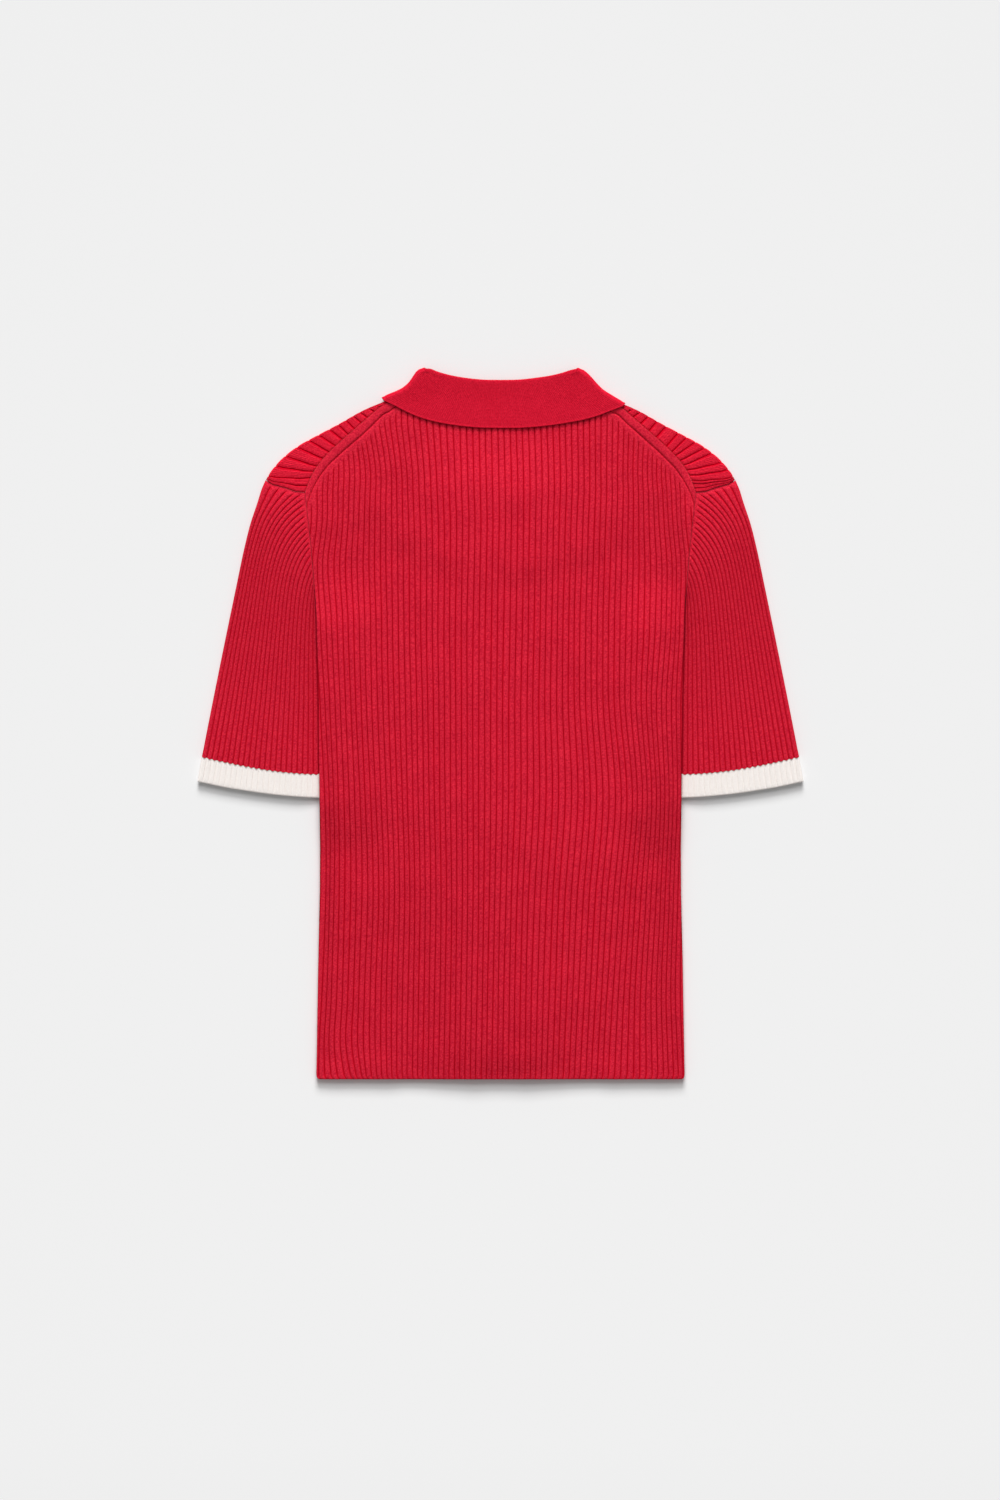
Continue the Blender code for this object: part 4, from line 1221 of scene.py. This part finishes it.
def knit_material(name, crest, groove, swing, wales, relief, ribbed=True):
    """swing is how far the mottle swings the crest's colour, and wales are a rib's columns."""
    material, tree, shader = start_material(name)
    group = tree.nodes.new("ShaderNodeGroup")
    group.node_tree = knitting
    stands = FINE_GROOVE_SHADE
    if ribbed:
        attribute = add_node(tree, "Attribute")
        attribute.attribute_name = "ribbed"
        stands = attribute.outputs["Fac"]
    set_inputs(tree, group, Ribbed=stands, Wales=wales, Course=COURSE)
    height, deep, tone = group.outputs
    dark = tuple(value * (1 - part) for value, part in zip(crest, swing))
    light = tuple(min(1.0, value * (1 + part)) for value, part in zip(crest, swing))
    yarn = mix_colour(tree, tone, dark, light)
    relief_node = add_node(tree, "Bump", Strength=1.0, Distance=relief * MM, Height=height)
    low, high = KNIT_ROUGHNESS
    rough = add_node(tree, "MapRange", Value=tone, To_Min=low, To_Max=high)
    # The base colour is the mottled yarn drawn towards the groove colour by the Groove mask: painted shade.
    set_inputs(
        tree,
        shader,
        Base_Color=mix_colour(tree, deep, yarn, groove),
        Normal=relief_node.outputs["Normal"],
        Roughness=rough.outputs["Result"],
        Specular_IOR_Level=KNIT_SPECULAR,
        Sheen_Weight=KNIT_SHEEN,
        Sheen_Roughness=0.45,
        Sheen_Tint=tuple(0.05 + 0.95 * value for value in crest),
    )
    return material


# Crest colours are the yarn's own. The groove colours are painted shade in the grooves.
RED = (0.700, 0.0175, 0.0440)
RED_GROOVE_SHADE = (0.59, 0.0006, 0.0140)
FINE_RED = (0.585, 0.0098, 0.0315)
CREAM = (0.95, 0.89, 0.85)
CREAM_GROOVE_SHADE = (0.90, 0.83, 0.79)
red_rib = knit_material("red_rib_knit_yarn", RED, RED_GROOVE_SHADE, (0.24, 0.75, 0.42), 3.0, 0.30)
red_fine = knit_material("red_fine_knit_yarn", FINE_RED, RED_GROOVE_SHADE, (0.16, 0.45, 0.28), 1.0, 0.20, False)
cream_rib = knit_material("cream_rib_knit_yarn", CREAM, CREAM_GROOVE_SHADE, (0.02, 0.03, 0.03), 3.0, 0.20)

# %% Plastic and thread
def plastic_material(name, colour):
    """Plastic with a faint swirl in the colour and fine handling marks in the gloss."""
    material, tree, shader = start_material(name)
    noise = add_node(tree, "TexNoise", Vector=object_place(tree), Scale=300.0, Detail=3.0, Distortion=1.5)
    swirl = noise.outputs["Fac"]
    marks = add_node(tree, "MapRange", Value=swirl, To_Min=0.22, To_Max=0.42).outputs["Result"]
    deeper = tuple(value * 0.75 for value in colour)
    colour = mix_colour(tree, swirl, colour, deeper)
    set_inputs(tree, shader, Base_Color=colour, Roughness=marks, Coat_Weight=0.3)
    return material


def thread_material(name, colour):
    """Twisted thread: fine slanting stripes of light and shade."""
    material, tree, shader = start_material(name)
    twist = add_node(tree, "TexWave", Vector=object_place(tree), Scale=900.0)
    twist.bands_direction = "DIAGONAL"
    shade = tuple(value * 0.6 for value in colour)
    stripes = mix_colour(tree, twist.outputs["Fac"], shade, colour)
    set_inputs(tree, shader, Base_Color=stripes, Roughness=0.7, Sheen_Weight=0.2)
    return material


plastic = plastic_material("red_button_plastic", (0.42, 0.008, 0.022))
thread = thread_material("red_sewing_thread", (0.45, 0.006, 0.02))

# %% [markdown]
# ## Floor, light and camera
#
# Two large soft lights, one low and strong, one high and weak, lean in from beyond the collar, so the
# only shadows on the pale card fall below the hem and cuffs and fade slowly. The camera looks straight
# down.

# %% Stage
CENTRE_Y = -22 * MM  # the middle of the picture, on the card
CAMERA_HEIGHT = 3.0
VIEW_HEIGHT = 1.25  # how much of the card the picture's height takes in
LIGHT_DISTANCE = 6.5
LIGHTS = (  # name, elevation in degrees, width, height, power
    ("window", 25.0, 2.8, 1.85, 475.0),
    ("skylight", 45.0, 2.8, 3.25, 195.0),
)
WORLD_LIGHT = 0.325
CARD_NEAR = 0.677  # painted shade on the card: its tone 0.6 m up the picture, darker towards the lights
CARD_FAR = 0.920  # and 0.6 m down, lighter, so that under the lights' falloff it looks even all over


def make_floor():
    select_none()
    bpy.ops.mesh.primitive_plane_add(size=30.0, location=(0.0, 0.0, -0.0004))
    card = bpy.context.active_object
    card.name = "card_floor"
    settle(card)
    material, tree, shader = start_material("pale_card")
    up = add_node(tree, "SeparateXYZ", Vector=object_place(tree)).outputs["Y"]
    down = add_node(tree, "MapRange", Value=up, From_Min=0.6, From_Max=-0.6).outputs["Result"]
    # Painted shade and light: the card's colour runs from dark near the lights to light away from them,
    # cancelling their falloff.
    colour = mix_colour(tree, down, (CARD_NEAR,) * 3, (CARD_FAR,) * 3)
    set_inputs(tree, shader, Base_Color=colour, Roughness=1.0, Specular_IOR_Level=0.0)
    card.data.materials.append(material)
    return card


def make_light(name, elevation, width, height, power):
    elevation = math.radians(elevation)
    lamp = bpy.data.lights.new(name, "AREA")
    lamp.shape = "RECTANGLE"
    lamp.size, lamp.size_y = width, height
    lamp.energy = power
    light = add_object(name, lamp)
    light.location = (0.0, LIGHT_DISTANCE * math.cos(elevation), LIGHT_DISTANCE * math.sin(elevation))
    light.rotation_euler = (elevation - math.pi / 2, 0.0, 0.0)


def make_world():
    world = bpy.data.worlds.new("studio")
    world.use_nodes = True
    background = world.node_tree.nodes["Background"]
    set_inputs(world.node_tree, background, Color=(1.0, 1.0, 1.0), Strength=WORLD_LIGHT)
    bpy.context.scene.world = world


def make_camera():
    lens = bpy.data.cameras.new("overhead")
    lens.sensor_fit = "VERTICAL"
    lens.sensor_height = 36.0
    lens.lens = lens.sensor_height * CAMERA_HEIGHT / VIEW_HEIGHT
    lens.clip_end = 50.0
    camera = add_object("overhead", lens)
    camera.location = (-0.0004, CENTRE_Y, CAMERA_HEIGHT)
    bpy.context.scene.camera = camera


floor = make_floor()
for row in LIGHTS:
    make_light(*row)
make_world()
make_camera()
bpy.context.scene.view_settings.view_transform = "Standard"

# %% [markdown]
# ## What stands for what
#
# Every piece rides on the one body, takes its slot's finish and replaces the solid whose form it has.

SHEETS = (  # pieces and nodes, slot, flat width and length in metres, flat area in square metres
    (("back",), "red_rib_knit", (0.325, 0.562), 0.165),
    (("front_right", "front_left"), "red_rib_knit", (0.165, 0.575), 0.082),
    (("sleeve_right", "sleeve_left"), "red_rib_knit", (0.236, 0.245), 0.043),
    (("cuff_right", "cuff_left"), "cream_rib_knit", (0.246, 0.020), 0.0049),
    (("collar",), "red_fine_knit", (0.46, 0.075), 0.028),
    (("button_band", "buttonhole_band"), "red_fine_knit", (0.030, 0.487), 0.0146),
)
YARN = {"red_rib_knit": red_rib, "red_fine_knit": red_fine, "cream_rib_knit": cream_rib}


def dress(piece, material):
    piece.data.materials.append(material)
    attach(piece, "root")


for keys, slot, flat, area in SHEETS:
    for key in keys:
        dress(pieces[key], YARN[slot])
        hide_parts(key)
for index in range(1, len(BUTTON_HEIGHTS) + 1):
    dress(pieces[f"button_{index}"], plastic)
    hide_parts(f"button_{index}")
for key in ("threads", "buttonholes", "seams"):
    dress(pieces[key], thread)
